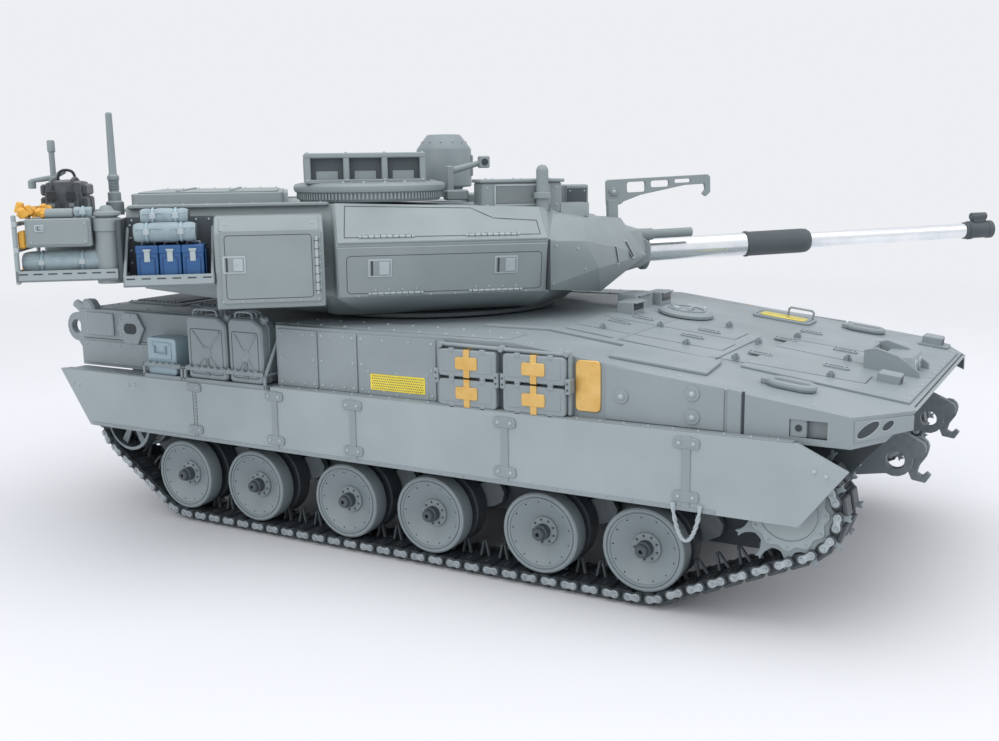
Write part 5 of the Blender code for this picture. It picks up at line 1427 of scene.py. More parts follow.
def addStorageBox(s):
    bin = bmesh.new()
    rear, front, near, far = s["rear"], s["front"], s["near"], s["far"]
    slab(bin, [(near, 130.0), (far + 1.0, 127.0), (far, 131.0), (far, 163.0), (far + 7.0, 170.6),
               (near, 171.0)], rear,
         front, "YZ", 0.6)
    face = panelPlace((0, far, 0), (1, 0, 0), (0, 0, 1))
    slab(bin, rounded(rear + 2.6, front - 1.4, 129.8, 164.4, 1.8, 3), -0.1, 0.7, "XY", 0.3, 0, face)
    seamLoop(bin, rounded(rear + 4.6, front - 5.6, 131.8, 162.2, 1.6, 3), 0.76, 0.3, 1, face)
    addRecessedLatch(bin, face @ Matrix.Translation((-106.2, 148.3, 0.7)), 8.6)
    # long hinge along the front edge
    rod(bin, (front - 3.4, far - 1.1, 133.4), (front - 3.4, far - 1.1, 161.0), 0.8, 0.8, 10, 0.1, 3)
    for i in range(7):
        z = 135.0 + i * 4.0
        block(bin, (front - 4.6, front - 2.2), (far - 1.9, far - 0.6), (z - 0.15, z + 0.15), 0, 1)
        bolt(bin, (front - 1.9, far - 0.7, z + 1.6), (0, -1, 0), 0.45, 0.4, 6, 3)
    for x in range(-112, -66, 9):
        bolt(bin, (x, far - 0.7, 130.8), (0, -1, 0), 0.5, 0.4, 6, 3)
    top = panelPlace((0, far, 163.0), (1, 0, 0), (0, 7.0, 7.6))
    slab(bin, [(rear + 2.4, 1.2), (front - 2.0, 1.2), (front - 2.0, 9.2), (rear + 2.4, 9.2)], -0.1, 0.5,
         "XY", 0.2, 0,
         top)
    for x in (rear + 5.0, front - 5.0):
        bolt(bin, (x, 5.2, 0.5), (0, 0, 1), 0.6, 0.45, 6, 3, top)
    finishPiece(bin, "storageBin", turretSpace, "turret", turretPaint, ("storage_box",), -1)


addStorageBox(binSettings)

rackSize = {"rear": -205.0, "front": -157.3, "half": 93.0, "floor": 142.5, "top": 170.4}


def addTray(target, x0, x1, y0, y1, z, lip=5.0, edges=("near", "rear", "front", "far")):
    # a sheet tray: a floor and upturned, slotted lips
    block(target, (x0, x1), (y0, y1), (z, z + 1.0), 0.15, 4)
    runs = {"near": ((x0, x1), (y0, y0 + 0.8)), "far": ((x0, x1), (y1 - 0.8, y1)),
            "rear": ((x0, x0 + 0.8), (y0, y1)), "front": ((x1 - 0.8, x1), (y0, y1))}
    for name in edges:
        (a, b), (c, d) = runs[name]
        block(target, (a, b), (c, d), (z, z + lip), 0.15, 4)
        if name == "near":
            count = max(3, int((b - a) / 6.0))
            for i in range(count):
                x = a + (b - a) * (i + 0.5) / count
                block(target, (x - 2.0, x + 2.0), (c - 0.08, c + 0.3), (z + lip - 1.9, z + lip - 1.3), 0, 1)
        if name == "rear":
            count = max(3, int((d - c) / 3.6))
            for i in range(count):
                y = c + (d - c) * (i + 0.5) / count
                block(target, (a - 0.12, a + 0.3), (y - 0.9, y + 0.9), (z + 1.6, z + lip - 1.2), 0, 1)


def addRack(s):
    rack = bmesh.new()
    rear, front, half, floor, top = s["rear"], s["front"], s["half"], s["floor"], s["top"]
    addTray(rack, rear, front - 2.4, -half, half, floor, 5.2, ("near", "far", "rear"))
    # the plate that carries the rack on the bustle, with stiffeners
    block(rack, (front - 2.0, front), (-half, half), (floor, top), 0.3, 2)
    for y in range(-84, 85, 14):
        block(rack, (front - 3.2, front - 1.8), (y - 0.7, y + 0.7), (floor + 2.0, top - 1.0), 0.15, 2)
        for z in (148.0, 158.0, 167.0):
            bolt(rack, (front - 2.0, y + 4.0, z), (-1, 0, 0), 0.7, 0.5, 6, 3)
    # rails and posts: round bar with flat clamps
    for z in (157.2, 169.2):
        loop = [(rear + 1.0, -half + 1, z), (rear + 1.0, half - 2.6, z), (rear + 2.6, half - 1, z),
                (front - 1.0, half - 1, z)]
        wire(rack, loop, 1.05, 3)
    for y in (-half + 1, -half / 2, 0, half / 2, half - 1):
        rod(rack, (rear + 1.0, y, floor + 0.5), (rear + 1.0, y, top), 0.95, 0.95, 12, 0.15)
        for z in (157.2, 169.2):
            block(rack, (rear - 0.1, rear + 2.1), (y - 1.3, y + 1.3), (z - 1.2, z + 1.2), 0.2, 3)
    for x in (front - 6.0, rear + 26.0):
        rod(rack, (x, half - 1, floor + 0.5), (x, half - 1, top), 0.95, 0.95, 12, 0.15)
    block(rack, (rear - 0.2, rear + 1.6), (-half, -half + 2.6), (floor - 1.0, 173.4), 0.4, 4)
    # half-round corner columns at the bustle, with a collar and a coned cap
    for y in (-85.6, 85.6):
        place = Matrix.Translation((-164.2, y, 0))
        lathe(rack, [(0.0, 140.6), (6.0, 140.6), (6.0, 165.0), (6.8, 165.4), (6.8, 170.6), (6.2, 171.2),
                     (4.6, 171.6),
                     (6.6, 172.6), (6.6, 173.8), (3.6, 174.6), (2.2, 176.8), (0.0, 177.2)], 32, None, place)
        seamLine(rack, (141.0, -0.2), (164.6, -0.2), 6.1, 1.0, 2,
                 place @ panelPlace((0, 0, 0), (0, 0, 1), (1 if y < 0 else -1, 0, 0)))
    # grey drawer box under the rail, with its latch
    block(rack, (-199.6, -170.6), (-92.4, -62.0), (158.4, 171.6), 0.7, 0)
    drawer = panelPlace((0, -92.4, 0), (1, 0, 0), (0, 0, 1))
    slab(rack, rounded(-198.4, -171.8, 159.6, 170.4, 0.8), -0.1, 0.5, "XY", 0.2, 0, drawer)
    addRecessedLatch(rack, drawer @ Matrix.Translation((-193.2, 167.2, 0.5)), 3.4)
    for x, z in ((-197.0, 160.8), (-173.2, 160.8), (-173.2, 169.2)):
        bolt(rack, (x, -92.9, z), (0, -1, 0), 0.5, 0.4, 6, 3)
    # boxed load further along the rack
    block(rack, (-200.0, -166.0), (-52.0, -14.0), (floor + 1.4, 166.0), 1.0, 0)
    slab(rack, rounded(-198.0, -168.0, -50.0, -16.0, 1.4), 165.9, 167.0, "XY", 0.3)
    block(rack, (-198.0, -168.0), (10.0, 50.0), (floor + 1.4, 163.0), 1.2, 2)
    for y in (18.0, 42.0):
        block(rack, (-198.6, -167.4), (y - 1.4, y + 1.4), (floor + 1.6, 163.5), 0.2, 8)
    # amber resin castings stowed at the rear corner
    for x, y, z, r, h in ((-201.4, -80.0, 144.0, 3.4, 8.4), (-201.6, -72.0, 144.0, 3.4, 8.4),
                          (-200.6, -60.0, 171.8, 3.6, 4.8), (-194.0, -52.6, 167.0, 3.2, 7.6),
                          (-201.0, -53.4, 167.2, 3.4, 7.0)):
        lathe(rack, [(0.0, z + h), (r * 0.6, z + h), (r * 0.7, z + h - 1.0), (r * 0.45, z + h - 1.6),
                     (r, z + h - 3.0),
                     (r, z + 0.8), (r * 0.8, z), (0.0, z)], 18, None, Matrix.Translation((x, y, 0)), 9)
    rng = random.Random(4)
    for i in range(11):
        x, y = -203.0 + rng.uniform(0.0, 13.0), -90.0 + rng.uniform(0.0, 12.0)
        z = 171.8 + rng.uniform(0.0, 2.6)
        rod(rack, (x, y, z), (x + rng.uniform(-2, 2), y + rng.uniform(-2, 2), z + rng.uniform(2.4, 5.0)),
            rng.uniform(1.4, 2.8), rng.uniform(0.8, 1.8), 12, 0.4, 9)
    block(rack, (-203.4, -199.8), (-91.0, -78.0), (158.0, 166.0), 0.8, 9)
    rod(rack, (-191.0, -88.4, 173.8), (-178.4, -88.4, 173.8), 2.3, 2.3, 20, 0.4, 0)
    # side baskets: trays with a bolted backing plate and end frames
    for sign in (-1, 1):
        y0, y1 = (-98.4, -77.3) if sign < 0 else (77.3, 98.4)
        addTray(rack, -157.0, -115.4, y0, y1, 139.2, 5.4,
                ("near", "rear", "front") if sign < 0 else ("far", "rear", "front"))
        back = y1 - 1.4 if sign < 0 else y0
        block(rack, (-156.6, -115.8), (back, back + 1.4), (140.0, 171.0), 0.2, 2)
        face = back - 0.1 if sign < 0 else back + 1.5
        for x in range(-154, -116, 6):
            for z in (143.0, 169.4):
                bolt(rack, (x, face, z), (0, sign, 0), 0.6, 0.45, 6, 3)
        for z in (143.0, 149.0, 155.0, 161.0, 167.0):
            bolt(rack, (-155.0, face, z), (0, sign, 0), 0.7, 0.5, 6, 3)
        edge = y0 + 0.8 if sign < 0 else y1 - 0.8
        for x in (-156.2, -116.4):
            rod(rack, (x, edge, 144.0), (x, back + 0.7, 166.0), 0.8, 0.8, 10, 0.1)
    finishPiece(rack, "bustleRack", turretSpace, "turret", turretPaint, ("bustle_rack",), -1)


addRack(rackSize)


def addRoll(target, x0, x1, y, z, radius, straps, seed, paint=0, strapPaint=1):
    # a folded sheet rolled up: a spiral end, sagging creases and two tight straps
    rng = random.Random(seed)
    part = bmesh.new()
    stations = 26
    around = 26
    wobble = [[rng.uniform(-1, 1) for _ in range(5)] for _ in range(3)]
    rings = []
    for i in range(stations + 1):
        t = i / stations
        x = x0 + (x1 - x0) * t
        squeeze = 0.0
        for strap in straps:
            squeeze += 0.13 * math.exp(-((x - strap) / 1.5) ** 2)
        endRound = 0.16 * (math.exp(-t * 22) + math.exp(-(1 - t) * 22))
        row = []
        for k in range(around):
            angle = math.tau * k / around
            crease = sum(w[0] * math.sin(angle * (2 + n * 2) + t * 6 * w[1] + w[2] * 3) for n,
                         w in enumerate(wobble)) / 3
            r = radius * (1 - squeeze - endRound + 0.045 * crease)
            row.append(part.verts.new((x, y + r * math.cos(angle), z + r * 0.94 * math.sin(angle))))
        rings.append(row)
    for first, second in zip(rings, rings[1:]):
        for k in range(around):
            part.faces.new((first[k], first[(k + 1) % around], second[(k + 1) % around], second[k]))
    part.faces.new(rings[0][::-1])
    part.faces.new(rings[-1])
    bmesh.ops.recalc_face_normals(part, faces=part.faces)
    merge(target, part, paint)
    # the loose outer edge of the sheet
    wire(target, [(x0 + 1.0 + (x1 - x0 - 2.0) * i / 10,
                   y - radius * 0.86 + 0.3 * math.sin(i * 1.7 + seed),
                   z + radius * (0.36 + 0.05 * math.sin(i + seed)))
                  for i in range(11)], 0.5, 2, True, False, paint)
    for end, way in ((x0, -1), (x1, 1)):
        spiral = [(end + way * 0.25, y + radius * (0.78 - 0.028 * i) * math.cos(i * 0.7),
                   z + radius * 0.94 * (0.78 - 0.028 * i) * math.sin(i * 0.7)) for i in range(26)]
        wire(target, spiral, 0.35, 1, False, False, 2)
    for strap in straps:
        band = [(strap, y + (radius * 0.9) * math.cos(math.tau * k / 24),
                 z + (radius * 0.85) * math.sin(math.tau * k / 24))
                for k in range(24)]
        wire(target, band, 0.75, 1, False, True, strapPaint)
        block(target, (strap - 1.4, strap + 1.4), (y - radius * 0.94 - 0.5, y - radius * 0.94 + 0.5),
              (z - 1.0, z + 1.6), 0.2, 3)


clothPaint = [canvas, lightBlueBox, shadeGrey, smallPartHighlightGrey]
rolls = bmesh.new()
addRoll(rolls, -202.4, -166.0, -84.2, 150.9, 6.0, (-194.0, -176.0), 3)
addRoll(rolls, -203.0, -178.0, -66.0, 150.2, 5.2, (-198.0, -184.0), 5)
finishPiece(rolls, "rackTarpaulin", turretSpace, "turret", clothPaint, ("tarp_roll",), -1)
basketRolls = bmesh.new()
addRoll(basketRolls, -151.4, -123.4, -91.0, 164.2, 4.9, (-145.6, -130.0), 11)
addRoll(basketRolls, -151.0, -124.6, -84.2, 163.8, 4.8, (-145.6, -130.0), 14)
addRoll(basketRolls, -148.4, -126.8, -87.4, 171.4, 4.1, (-142.8, -132.4), 17)
addRoll(basketRolls, -178.0, -170.0, -88.0, 174.2, 2.6, (-174.0,), 21)
finishPiece(basketRolls, "basketTarpaulins", turretSpace, "turret", clothPaint, (), -1)


def addAmmoBoxes():
    # three steel ammunition boxes: ribbed sides, hinged lids, folding handles
    load = bmesh.new()
    for x0 in (-150.8, -140.4, -130.0):
        x1 = x0 + 9.8
        block(load, (x0, x1), (-95.2, -79.4), (141.4, 155.4), 0.35)
        block(load, (x0 - 0.25, x1 + 0.25), (-95.5, -79.1), (154.2, 158.2), 0.5)
        block(load, (x0 + 1.2, x1 - 1.2), (-95.5, -95.0), (143.2, 152.8), 0.2, 1)
        block(load, (x0 + 1.8, x1 - 1.8), (-95.8, -95.3), (144.0, 152.0), 0.15)
        block(load, (x0 + 3.6, x0 + 6.2), (-96.1, -95.2), (150.6, 156.4), 0.2, 2)
        rod(load, (x0 + 3.2, -95.9, 156.0), (x0 + 6.6, -95.9, 156.0), 0.55, 0.55, 8, 0, 2)
        wire(load, [(x0 + 2.0, -87.3, 158.0), (x0 + 2.0, -87.3, 159.3), (x1 - 2.0, -87.3, 159.3),
                    (x1 - 2.0, -87.3, 158.0)], 0.5, 2, False, False, 2)
    block(load, (-119.4, -119.2), (-95.0, -79.6), (141.4, 156.0), 0.3)
    finishPiece(load, "ammunitionBoxes", turretSpace, "turret",
                [ammoBlue, styrene("ammoShade", "#1f4778", "#1b3f6c", 0.5), smallPartHighlightGrey], ("basket_load",), -1)


addAmmoBoxes()


def addBackpack():
    bag = bmesh.new()
    part = bmesh.new()
    size = Vector((19.0, 27.0, 17.6))
    middle = Vector((-185.4, -60.0, 180.4))
    bmesh.ops.create_cube(part, size=1.0, matrix=Matrix.Translation(middle) @ Matrix.Diagonal(size).to_4x4())
    bmesh.ops.subdivide_edges(part, edges=part.edges, cuts=7, use_grid_fill=True)
    for vert in part.verts:
        d = vert.co - middle
        n = Vector((d.x / 9.5, d.y / 13.5, d.z / 8.8))
        squash = max(abs(n.x), abs(n.y), abs(n.z)) / max(n.length, 0.001)
        soft = 0.55 + 0.45 * squash
        bulge = 0.35 * math.sin(d.x * 0.9 + d.z * 0.7) + 0.3 * math.sin(d.y * 0.8 + d.z * 0.5)
        vert.co = middle + d * soft * (1 + 0.035 * bulge)
    merge(bag, part)
    # front pockets, straps with buckles, the lid flap and the grab loop
    for y0, y1, z0, z1 in ((-71.0, -61.0, 173.4, 181.0), (-59.0, -49.0, 173.4, 181.0),
                           (-70.0, -50.0, 181.6, 187.0)):
        block(bag, (-196.0, -193.2), (y0, y1), (z0, z1), 0.9)
        block(bag, (-177.4, -174.8), (y0, y1), (z0, z1), 0.9)
    for x0, x1 in ((-193.4, -187.0), (-184.6, -178.4)):
        block(bag, (x0, x1), (-74.2, -71.8), (173.6, 183.4), 0.9)
        block(bag, (x0 + 0.8, x1 - 0.8), (-74.9, -73.8), (179.4, 184.0), 0.4, 1)
    for x in (-190.2, -181.4):
        wire(bag, [(x, -74.4, 172.6), (x, -74.6, 180.0), (x, -72.4, 187.6), (x, -66.0, 189.8),
                   (x, -54.0, 189.8),
                   (x, -47.4, 186.4)], 0.75, 1, True, False, 1)
        block(bag, (x - 1.3, x + 1.3), (-75.2, -74.2), (176.0, 178.0), 0.2, 2)
    wire(bag, [(-189.4, -60.0, 188.4), (-189.4, -60.0, 192.6), (-185.4, -60.0, 194.0), (-181.4, -60.0, 192.6),
               (-181.4, -60.0, 188.4)], 0.7, 2, True, False, 1)
    piece = finishPiece(bag, "pack", turretSpace, "turret",
                        [packCloth, cloth("packWebbing", "#2c3134", "#23282b", 0.0005, 0.8, 0.00005),
                         hookGrey],
                        ("backpack",), -1)


addBackpack()
print("turret stowage ready")

cupolaSettings = {"x": -37.0, "y": -40.0, "radius": 39.0, "low": 175.8, "teeth": 120}


def addCupola(s):
    cupola = bmesh.new()
    low, radius = s["low"], s["radius"]
    place = Matrix.Translation((s["x"], s["y"], 0))
    lathe(cupola, [(radius - 8.0, low + 0.1), (radius - 2.6, low + 0.1), (radius - 1.6, low + 1.4),
                   (radius - 1.6, low + 4.4),
                   (radius + 0.2, low + 5.2), (radius + 0.8, low + 6.6), (radius + 0.8, low + 8.0),
                   (radius, low + 9.2),
                   (radius - 3.0, low + 9.8), (radius - 9.0, low + 9.8), (radius - 10.0, low + 8.0),
                   (radius - 8.0, low + 0.1)],
          96, None, place)
    # the traverse rack's teeth, a band of fine upright pins under the rolled lip
    for i in range(s["teeth"]):
        turn = Matrix.Rotation(math.tau * i / s["teeth"], 4, "Z")
        block(cupola, (radius - 1.8, radius - 0.7), (-0.5, 0.5), (low + 1.5, low + 4.6), 0, 0, place @ turn)
    for i in range(20):
        turn = Matrix.Rotation(math.tau * (i + 0.5) / 20, 4, "Z")
        bolt(cupola, (radius - 5.0, 0, low + 9.8), (0, 0, 1), 0.8, 0.6, 6, 3, place @ turn)
    lathe(cupola, [(0.0, low + 10.4), (22.0, low + 10.0), (28.0, low + 9.0), (31.0, low + 7.6),
                   (31.0, low + 1.0),
                   (0.0, low + 1.0)], 48, None, place)
    lathe(cupola, [(11.0, low + 10.2), (11.0, low + 12.4), (12.0, low + 13.0), (16.0, low + 13.0),
                   (17.0, low + 12.0),
                   (17.0, low + 9.8)], 40, None, place)
    # open-topped armoured shield: a bolted rim on posts, with sloping recessed windows between them
    x0, x1, rim, foot = -34.0, 27.0, 200.4, low + 10.6
    for out in (-1, 1):
        y = 24.5 * out
        side = panelPlace((0, y, 0), (1, 0, 0) if out < 0 else (-1, 0, 0), (0, 0, 1))
        ends = (x0, x1) if out < 0 else (-x1, -x0)
        block(cupola, ends, (rim - 2.6, rim), (-4.0, 0.3), 0.5, 0, place @ side)
        block(cupola, ends, (low + 9.4, foot + 0.8), (-4.0, 0.3), 0.4, 0, place @ side)
        span = (ends[1] - ends[0] - 3.0) / 3
        for i in range(4):
            u = ends[0] + i * span
            block(cupola, (u, u + 3.0), (foot, rim - 2.0), (-3.6, 0), 0.4, 0, place @ side)
            bolt(cupola, (u + 1.5, rim, -2.0), (0, 1, 0), 0.8, 0.6, 6, 3, place @ side)
            bolt(cupola, (u + 1.5, foot + 0.4, 0.3), (0, 0, 1), 0.7, 0.5, 6, 3, place @ side)
        for i in range(3):
            u = ends[0] + 3.0 + i * span
            block(cupola, (u - 0.2, u + span - 2.8), (foot, rim - 2.0), (-4.2, -3.4), 0, 2, place @ side)
            block(cupola, (u + 2.6, u + span - 5.6), (foot + 0.6, foot + 5.0), (-3.6, -2.8), 0.3, 0,
                  place @ side)
    for x in (x0, x1 - 3.0):
        block(cupola, (x, x + 3.0), (-24.0, 24.0), (low + 9.4, foot + 0.8), 0.4, 0, place)
        block(cupola, (x, x + 3.0), (-24.0, 24.0), (rim - 2.6, rim), 0.5, 0, place)
        for y in (-24.0, -9.2, 6.0, 21.0):
            block(cupola, (x, x + 3.0), (y, y + 3.0), (foot, rim - 2.0), 0.4, 0, place)
        block(cupola, (x + 1.1, x + 1.9), (-22.0, 22.0), (foot, rim - 2.0), 0, 6, place)
    finishPiece(cupola, "cupolaRing", turretSpace, "cupola_ring", turretPaint, ("cupola",),
                -1)


addCupola(cupolaSettings)


def addSensor():
    # panoramic sight: a plain drum with a chamfered cap, a window and its bolted neck
    drum = bmesh.new()
    place = Matrix.Translation((10.0, 12.0, 0))
    lathe(drum, [(0.0, 211.4), (9.0, 211.2), (9.8, 210.8), (15.2, 203.8), (15.8, 202.6), (15.8, 182.4),
                 (15.2, 181.6),
                 (11.0, 181.2), (10.4, 180.4), (10.4, 175.9), (0.0, 175.9)], 72, None, place)
    block(drum, (11.4, 16.1), (-6.0, 6.0), (187.6, 199.6), 0.5, 0, place)
    block(drum, (16.0, 16.25), (-4.6, 4.6), (189.0, 198.2), 0, 7, place)
    for i in range(12):
        turn = Matrix.Rotation(math.tau * (i + 0.5) / 12, 4, "Z")
        bolt(drum, (13.0, 0, 206.9), (0.8, 0, 0.6), 0.5, 0.3, 6, 0, place @ turn)
    finishPiece(drum, "sensorHead", turretSpace, "sensor_head",
                [wheelGrey, seamDark, shadeGrey, smallPartHighlightGrey, panelGrey, yellowMesh, glass, lensAndHollowShadeDark],
                ("sensor_drum",), -1)


addSensor()


def addRoof():
    roof = bmesh.new()
    # bustle lid with its ribs and bolts, roof hatches and ventilator
    slab(roof, rounded(-156.0, -82.0, -60.0, 60.0, 2.0), 175.2, 181.6, "XY", 0.7)
    slab(roof, rounded(-153.0, -85.0, -57.0, 57.0, 1.6), 181.5, 182.3, "XY", 0.3)
    for y in (-57.0, 57.0):
        for x in range(-150, -84, 9):
            bolt(roof, (x, y + (1.5 if y < 0 else -1.5), 182.3), (0, 0, 1), 0.6, 0.5, 6, 3)
    for x in (-134.0, -108.0):
        block(roof, (x - 0.9, x + 0.9), (-56.0, 56.0), (182.2, 183.0), 0.2)
    slab(roof, rounded(-156.0, -60.0, -76.0, -63.0, 1.4), 174.9, 176.4, "XY", 0.3)
    slab(roof, rounded(-156.0, -60.0, 63.0, 72.0, 1.4), 174.9, 176.4, "XY", 0.3)
    for x in range(-152, -62, 11):
        for y in (-73.6, 69.8):
            bolt(roof, (x, y, 176.4), (0, 0, 1), 0.6, 0.45, 6, 3)
    # gunner's sight housing with its clear side panel and hood
    block(roof, (20.0, 63.0), (-58.0, -32.0), (168.0, 184.4), 0.9)
    block(roof, (19.0, 64.4), (-59.0, -31.0), (184.2, 186.0), 0.5)
    block(roof, (28.0, 55.0), (-58.35, -57.6), (173.4, 182.4), 0.2, 6)
    seamLoop(roof, rounded(26.6, 56.4, 172.2, 183.4, 1.0), 0.2, 0.9, 3,
             panelPlace((0, -58.3, 0), (1, 0, 0), (0, 0, 1)))
    for x in (23.0, 60.0):
        for z in (172.4, 181.6):
            bolt(roof, (x, -58.0, z), (0, -1, 0), 0.7, 0.5, 6, 3)
    block(roof, (62.8, 63.3), (-54.0, -36.0), (172.0, 182.6), 0, 7)
    for x in (26.0, 41.5, 57.0):
        for y in (-55.0, -35.0):
            bolt(roof, (x, y, 186.0), (0, 0, 1), 0.7, 0.5, 6, 3)
    # rounded post and the plain box beside it
    post = Matrix.Translation((51.6, -62.0, 0))
    rod(roof, (0, 0, 166.0), (0, 0, 190.6), 3.2, 3.2, 20, 0, 0, post)
    for profile in ([(0.0, 193.4), (1.8, 192.9), (2.9, 191.6), (3.2, 190.4)],
                    [(4.6, 176.0), (4.6, 178.6), (3.2, 179.2)]):
        lathe(roof, profile, 20, None, post)
    block(roof, (70.0, 83.0), (-38.0, -26.0), (166.0, 182.4), 0.7)
    block(roof, (71.0, 82.0), (-38.4, -37.8), (170.0, 180.6), 0.3, 2)
    for x in (72.4, 80.6):
        bolt(roof, (x, -38.4, 179.0), (0, -1, 0), 0.5, 0.4, 6, 3)
    # bracket between the cupola and the panoramic sight, with its box end
    block(roof, (4.6, 8.2), (-38.0, -32.0), (175.0, 193.4), 0.5)
    rod(roof, (6.4, -35.0, 190.4), (24.0, -35.0, 195.0), 2.0, 1.4, 14, 0.3)
    block(roof, (22.4, 28.0), (-38.6, -31.6), (192.0, 198.4), 0.6)
    rod(roof, (25.2, -38.5, 195.2), (25.2, -39.0, 195.2), 1.8, 1.8, 18, 0.1, 1)
    block(roof, (3.6, 16.0), (-40.0, -28.0), (175.0, 180.6), 0.8)
    # low covers over the rest of the roof
    slab(roof, rounded(-48.0, -6.0, 22.0, 62.0, 12.0, 6), 175.2, 177.2, "XY", 0.4)
    slab(roof, rounded(-44.0, -10.0, 26.0, 58.0, 10.0, 6), 177.1, 179.4, "XY", 0.7)
    for x, y in ring(15.0, 10, 0.0, (-27.0, 42.0)):
        bolt(roof, (x, y, 179.4), (0, 0, 1), 0.7, 0.5, 6, 3)
    rod(roof, (-52.0, 32.0, 178.2), (-52.0, 52.0, 178.2), 1.6, 1.6, 14, 0.2)
    for y in (22.0, 40.0, 58.0):
        block(roof, (24.0, 40.0), (y - 6.0, y + 6.0), (170.0, 177.0), 0.7)
        block(roof, (39.8, 40.2), (y - 4.6, y + 4.6), (172.6, 176.0), 0, 7)
    finishPiece(roof, "roofDetail", turretSpace, "turret", turretPaint, (), -1)


addRoof()


def addAerials():
    aerial = bmesh.new()
    lathe(aerial, [(0.0, 221.4), (1.0, 221.4), (1.6, 220.8), (1.9, 192.0), (2.3, 191.0), (2.9, 190.4),
                   (2.9, 188.8),
                   (2.3, 188.0), (2.3, 183.0), (3.2, 182.2), (3.2, 178.4), (4.3, 177.6), (4.3, 171.4),
                   (0.0, 171.2)],
          24, None, Matrix.Translation((-165.0, -51.0, 0)))
    for i in range(6):
        lathe(aerial, [(2.3, 183.6 + i * 0.8), (2.75, 184.0 + i * 0.8), (2.3, 184.4 + i * 0.8)], 18, None,
              Matrix.Translation((-165.0, -51.0, 0)))
    # the cranked wind sensor beside it
    lathe(aerial, [(0.0, 208.4), (1.6, 208.4), (1.9, 207.6), (1.9, 203.0), (1.4, 202.4), (1.4, 191.0),
                   (2.4, 190.4),
                   (2.4, 184.0), (3.0, 183.4), (3.0, 171.6), (0.0, 171.4)], 20, None,
          Matrix.Translation((-194.5, -44.0, 0)))
    wire(aerial, [(-204.9, -44.0, 186.4), (-204.9, -44.0, 188.6), (-199.5, -44.0, 189.4),
                  (-194.5, -44.0, 190.2),
                  (-188.9, -44.0, 193.4)], 1.3, 3)
    rod(aerial, (-204.9, -44.0, 184.8), (-204.9, -44.0, 188.8), 1.9, 1.9, 14, 0.3)
    finishPiece(aerial, "aerials", turretSpace, "turret", [wheelGrey], ("antenna_mast",), -1)


addAerials()
print("turret roof ready")

gunSettings = {"sleeve": (107.0, 149.0), "muzzle": (253.1, 271.7)}


def addGun(s):
    barrel = bmesh.new()
    place = Matrix.Rotation(math.pi / 2, 4, "Y")
    sleeveLow, sleeveHigh = s["sleeve"]
    collarLow, collarHigh = s["muzzle"]
    lathe(barrel, [(0.0, -8.0), (7.2, -8.0), (6.9, 50.0), (6.9, sleeveLow + 2.0)], 48, None, place, 0)
    lathe(barrel, [(6.8, sleeveLow - 0.4), (7.7, sleeveLow), (7.7, sleeveLow + 1.6), (7.35, sleeveLow + 2.2),
                   (7.35, sleeveHigh - 6.0), (7.1, sleeveHigh - 2.6), (6.0, sleeveHigh - 0.8),
                   (4.5, sleeveHigh)],
          48, None, place, 1)
    lathe(barrel, [(4.6, sleeveHigh - 3.0), (4.6, collarLow + 1.0)], 40, None, place, 0)
    lathe(barrel, [(4.5, collarLow - 0.2), (5.2, collarLow), (5.2, collarLow + 2.2), (5.7, collarLow + 2.6),
                   (5.7, collarLow + 5.0), (5.1, collarLow + 5.4), (5.1, collarHigh - 3.2),
                   (5.5, collarHigh - 2.8),
                   (5.5, collarHigh), (3.3, collarHigh), (3.3, collarHigh - 14.0), (0.0, collarHigh - 14.0)],
          40, [1] * 9 + [2, 2], place, 1)
    block(barrel, (collarHigh - 13.0, collarHigh - 4.0), (-2.0, 2.0), (4.6, 7.4), 0.4, 1)
    rod(barrel, (collarHigh - 13.6, 0, 8.4), (collarHigh - 3.4, 0, 8.4), 2.5, 2.3, 20, 0.3, 1)
    rod(barrel, (collarHigh - 3.6, 0, 8.4), (collarHigh - 3.2, 0, 8.4), 1.6, 1.6, 16, 0, 2)
    finishPiece(barrel, "barrel", gunSpace, "barrel", [aluminium, shadeGrey, seamDark],
                ("gun_barrel",), -1, 40)


addGun(gunSettings)


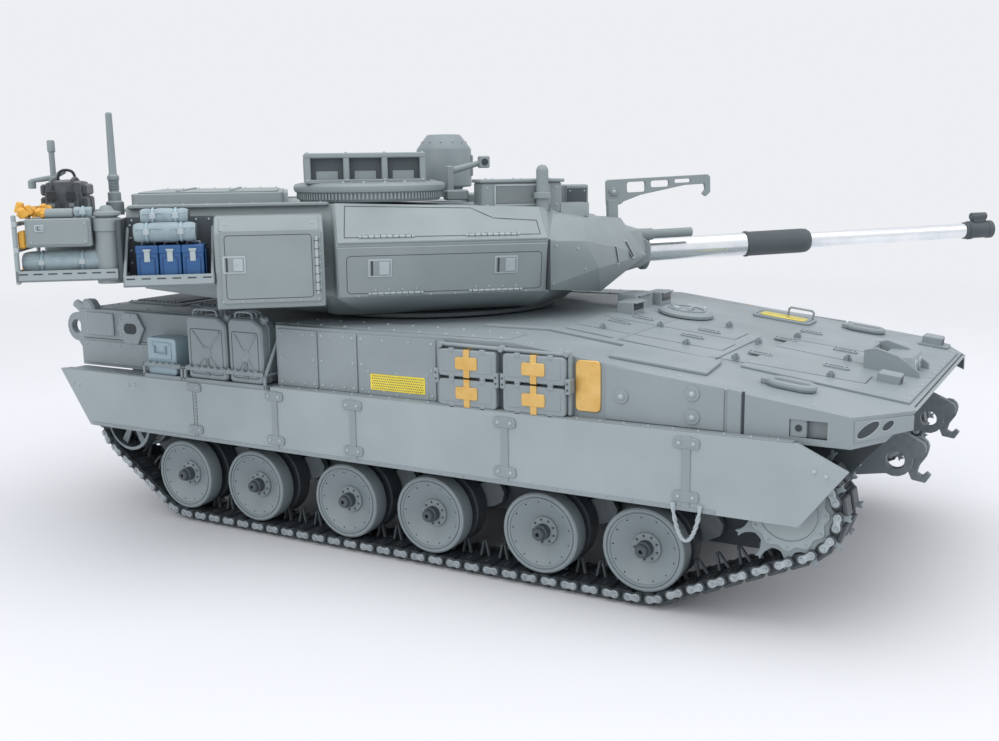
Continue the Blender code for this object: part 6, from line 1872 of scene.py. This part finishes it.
def addMantlet():
    shield = bmesh.new()
    slab(shield, [(-19.0, -9.0), (-8.0, -14.0), (22.0, -11.0), (37.0, -7.6), (42.0, -4.6), (42.0, 5.6),
                  (37.0, 9.4),
                  (12.0, 21.0), (-19.0, 21.0)], -18.0, 18.0, "XZ", 0.7)
    place = Matrix.Rotation(math.pi / 2, 4, "Y")
    lathe(shield, [(7.9, 40.0), (10.6, 40.0), (11.4, 41.0), (11.4, 43.6), (10.2, 44.6), (7.9, 44.6)], 40,
          None, place)
    for i in range(12):
        turn = Matrix.Rotation(math.tau * (i + 0.5) / 12, 4, "X")
        bolt(shield, (44.6, 9.4, 0), (1, 0, 0), 0.5, 0.4, 6, 3, turn)
    # coaxial tube beside the barrel, with its stepped collar
    rod(shield, (34.0, -9.5, 10.0), (70.0, -9.5, 10.0), 2.7, 2.7, 24, 0.3)
    rod(shield, (34.0, -9.5, 10.0), (46.0, -9.5, 10.0), 3.7, 3.4, 24, 0.4)
    rod(shield, (69.6, -9.5, 10.0), (70.15, -9.5, 10.0), 1.7, 1.7, 16, 0, 1)
    for y in (-14.0, 0.0, 14.0):
        for x, z in ((18.0, 18.2), (28.0, 13.7)):
            bolt(shield, (x, y, z), (0.4, 0, 1), 0.9, 0.6, 6, 3)
    finishPiece(shield, "gunShield", gunSpace, "gun_mount", turretPaint, ("mantlet",), -1)


addMantlet()


def addGunArm():
    # perforated arm that rises over the gun, with its hooked end and its three windows
    arm = bmesh.new()
    x, y = 13.0, -28.0
    outline = [(0.0, 29.0), (0.0, 41.8), (1.0, 43.0), (60.0, 43.4), (61.4, 42.0), (61.4, 33.4), (58.6, 31.0),
               (56.6, 32.6), (58.6, 35.0), (58.0, 38.2), (46.0, 38.0), (20.0, 33.8), (10.0, 30.6),
               (8.0, 29.0)]
    slab(arm, [(x + u, v) for u, v in outline], y - 1.4, y + 1.4, "XZ", 0.25)
    piece = finishPiece(arm, "gunArm", gunSpace, "gun_mount", turretPaint, (), -1)
    cutter = bmesh.new()
    for u0, u1, v0, v1 in ((12.0, 23.0, 35.4, 41.2), (26.0, 37.0, 37.6, 41.3), (40.0, 50.0, 39.4, 41.5)):
        slab(cutter, rounded(x + u0, x + u1, v0, v1, min(1.2, (v1 - v0) / 2 - 0.05), 3), y - 3.0, y + 3.0,
             "XZ")
    carve(piece, cutter, gunSpace)
    foot = bmesh.new()
    block(foot, (x + 0.4, x + 6.4), (y - 2.2, y + 2.2), (16.0, 32.0), 0.5)
    block(foot, (x + 0.4, x + 6.4), (y, -17.0), (16.0, 19.4), 0.4)
    rod(foot, (x + 4.0, y - 2.6, 36.4), (x + 4.0, y + 2.6, 36.4), 2.4, 2.4, 18, 0.3)
    bolt(foot, (x + 4.0, y - 2.6, 36.4), (0, -1, 0), 1.2, 0.8, 6, 3)
    finishPiece(foot, "gunArmFoot", gunSpace, "gun_mount", turretPaint, (), -1)


addGunArm()
print("gun ready")
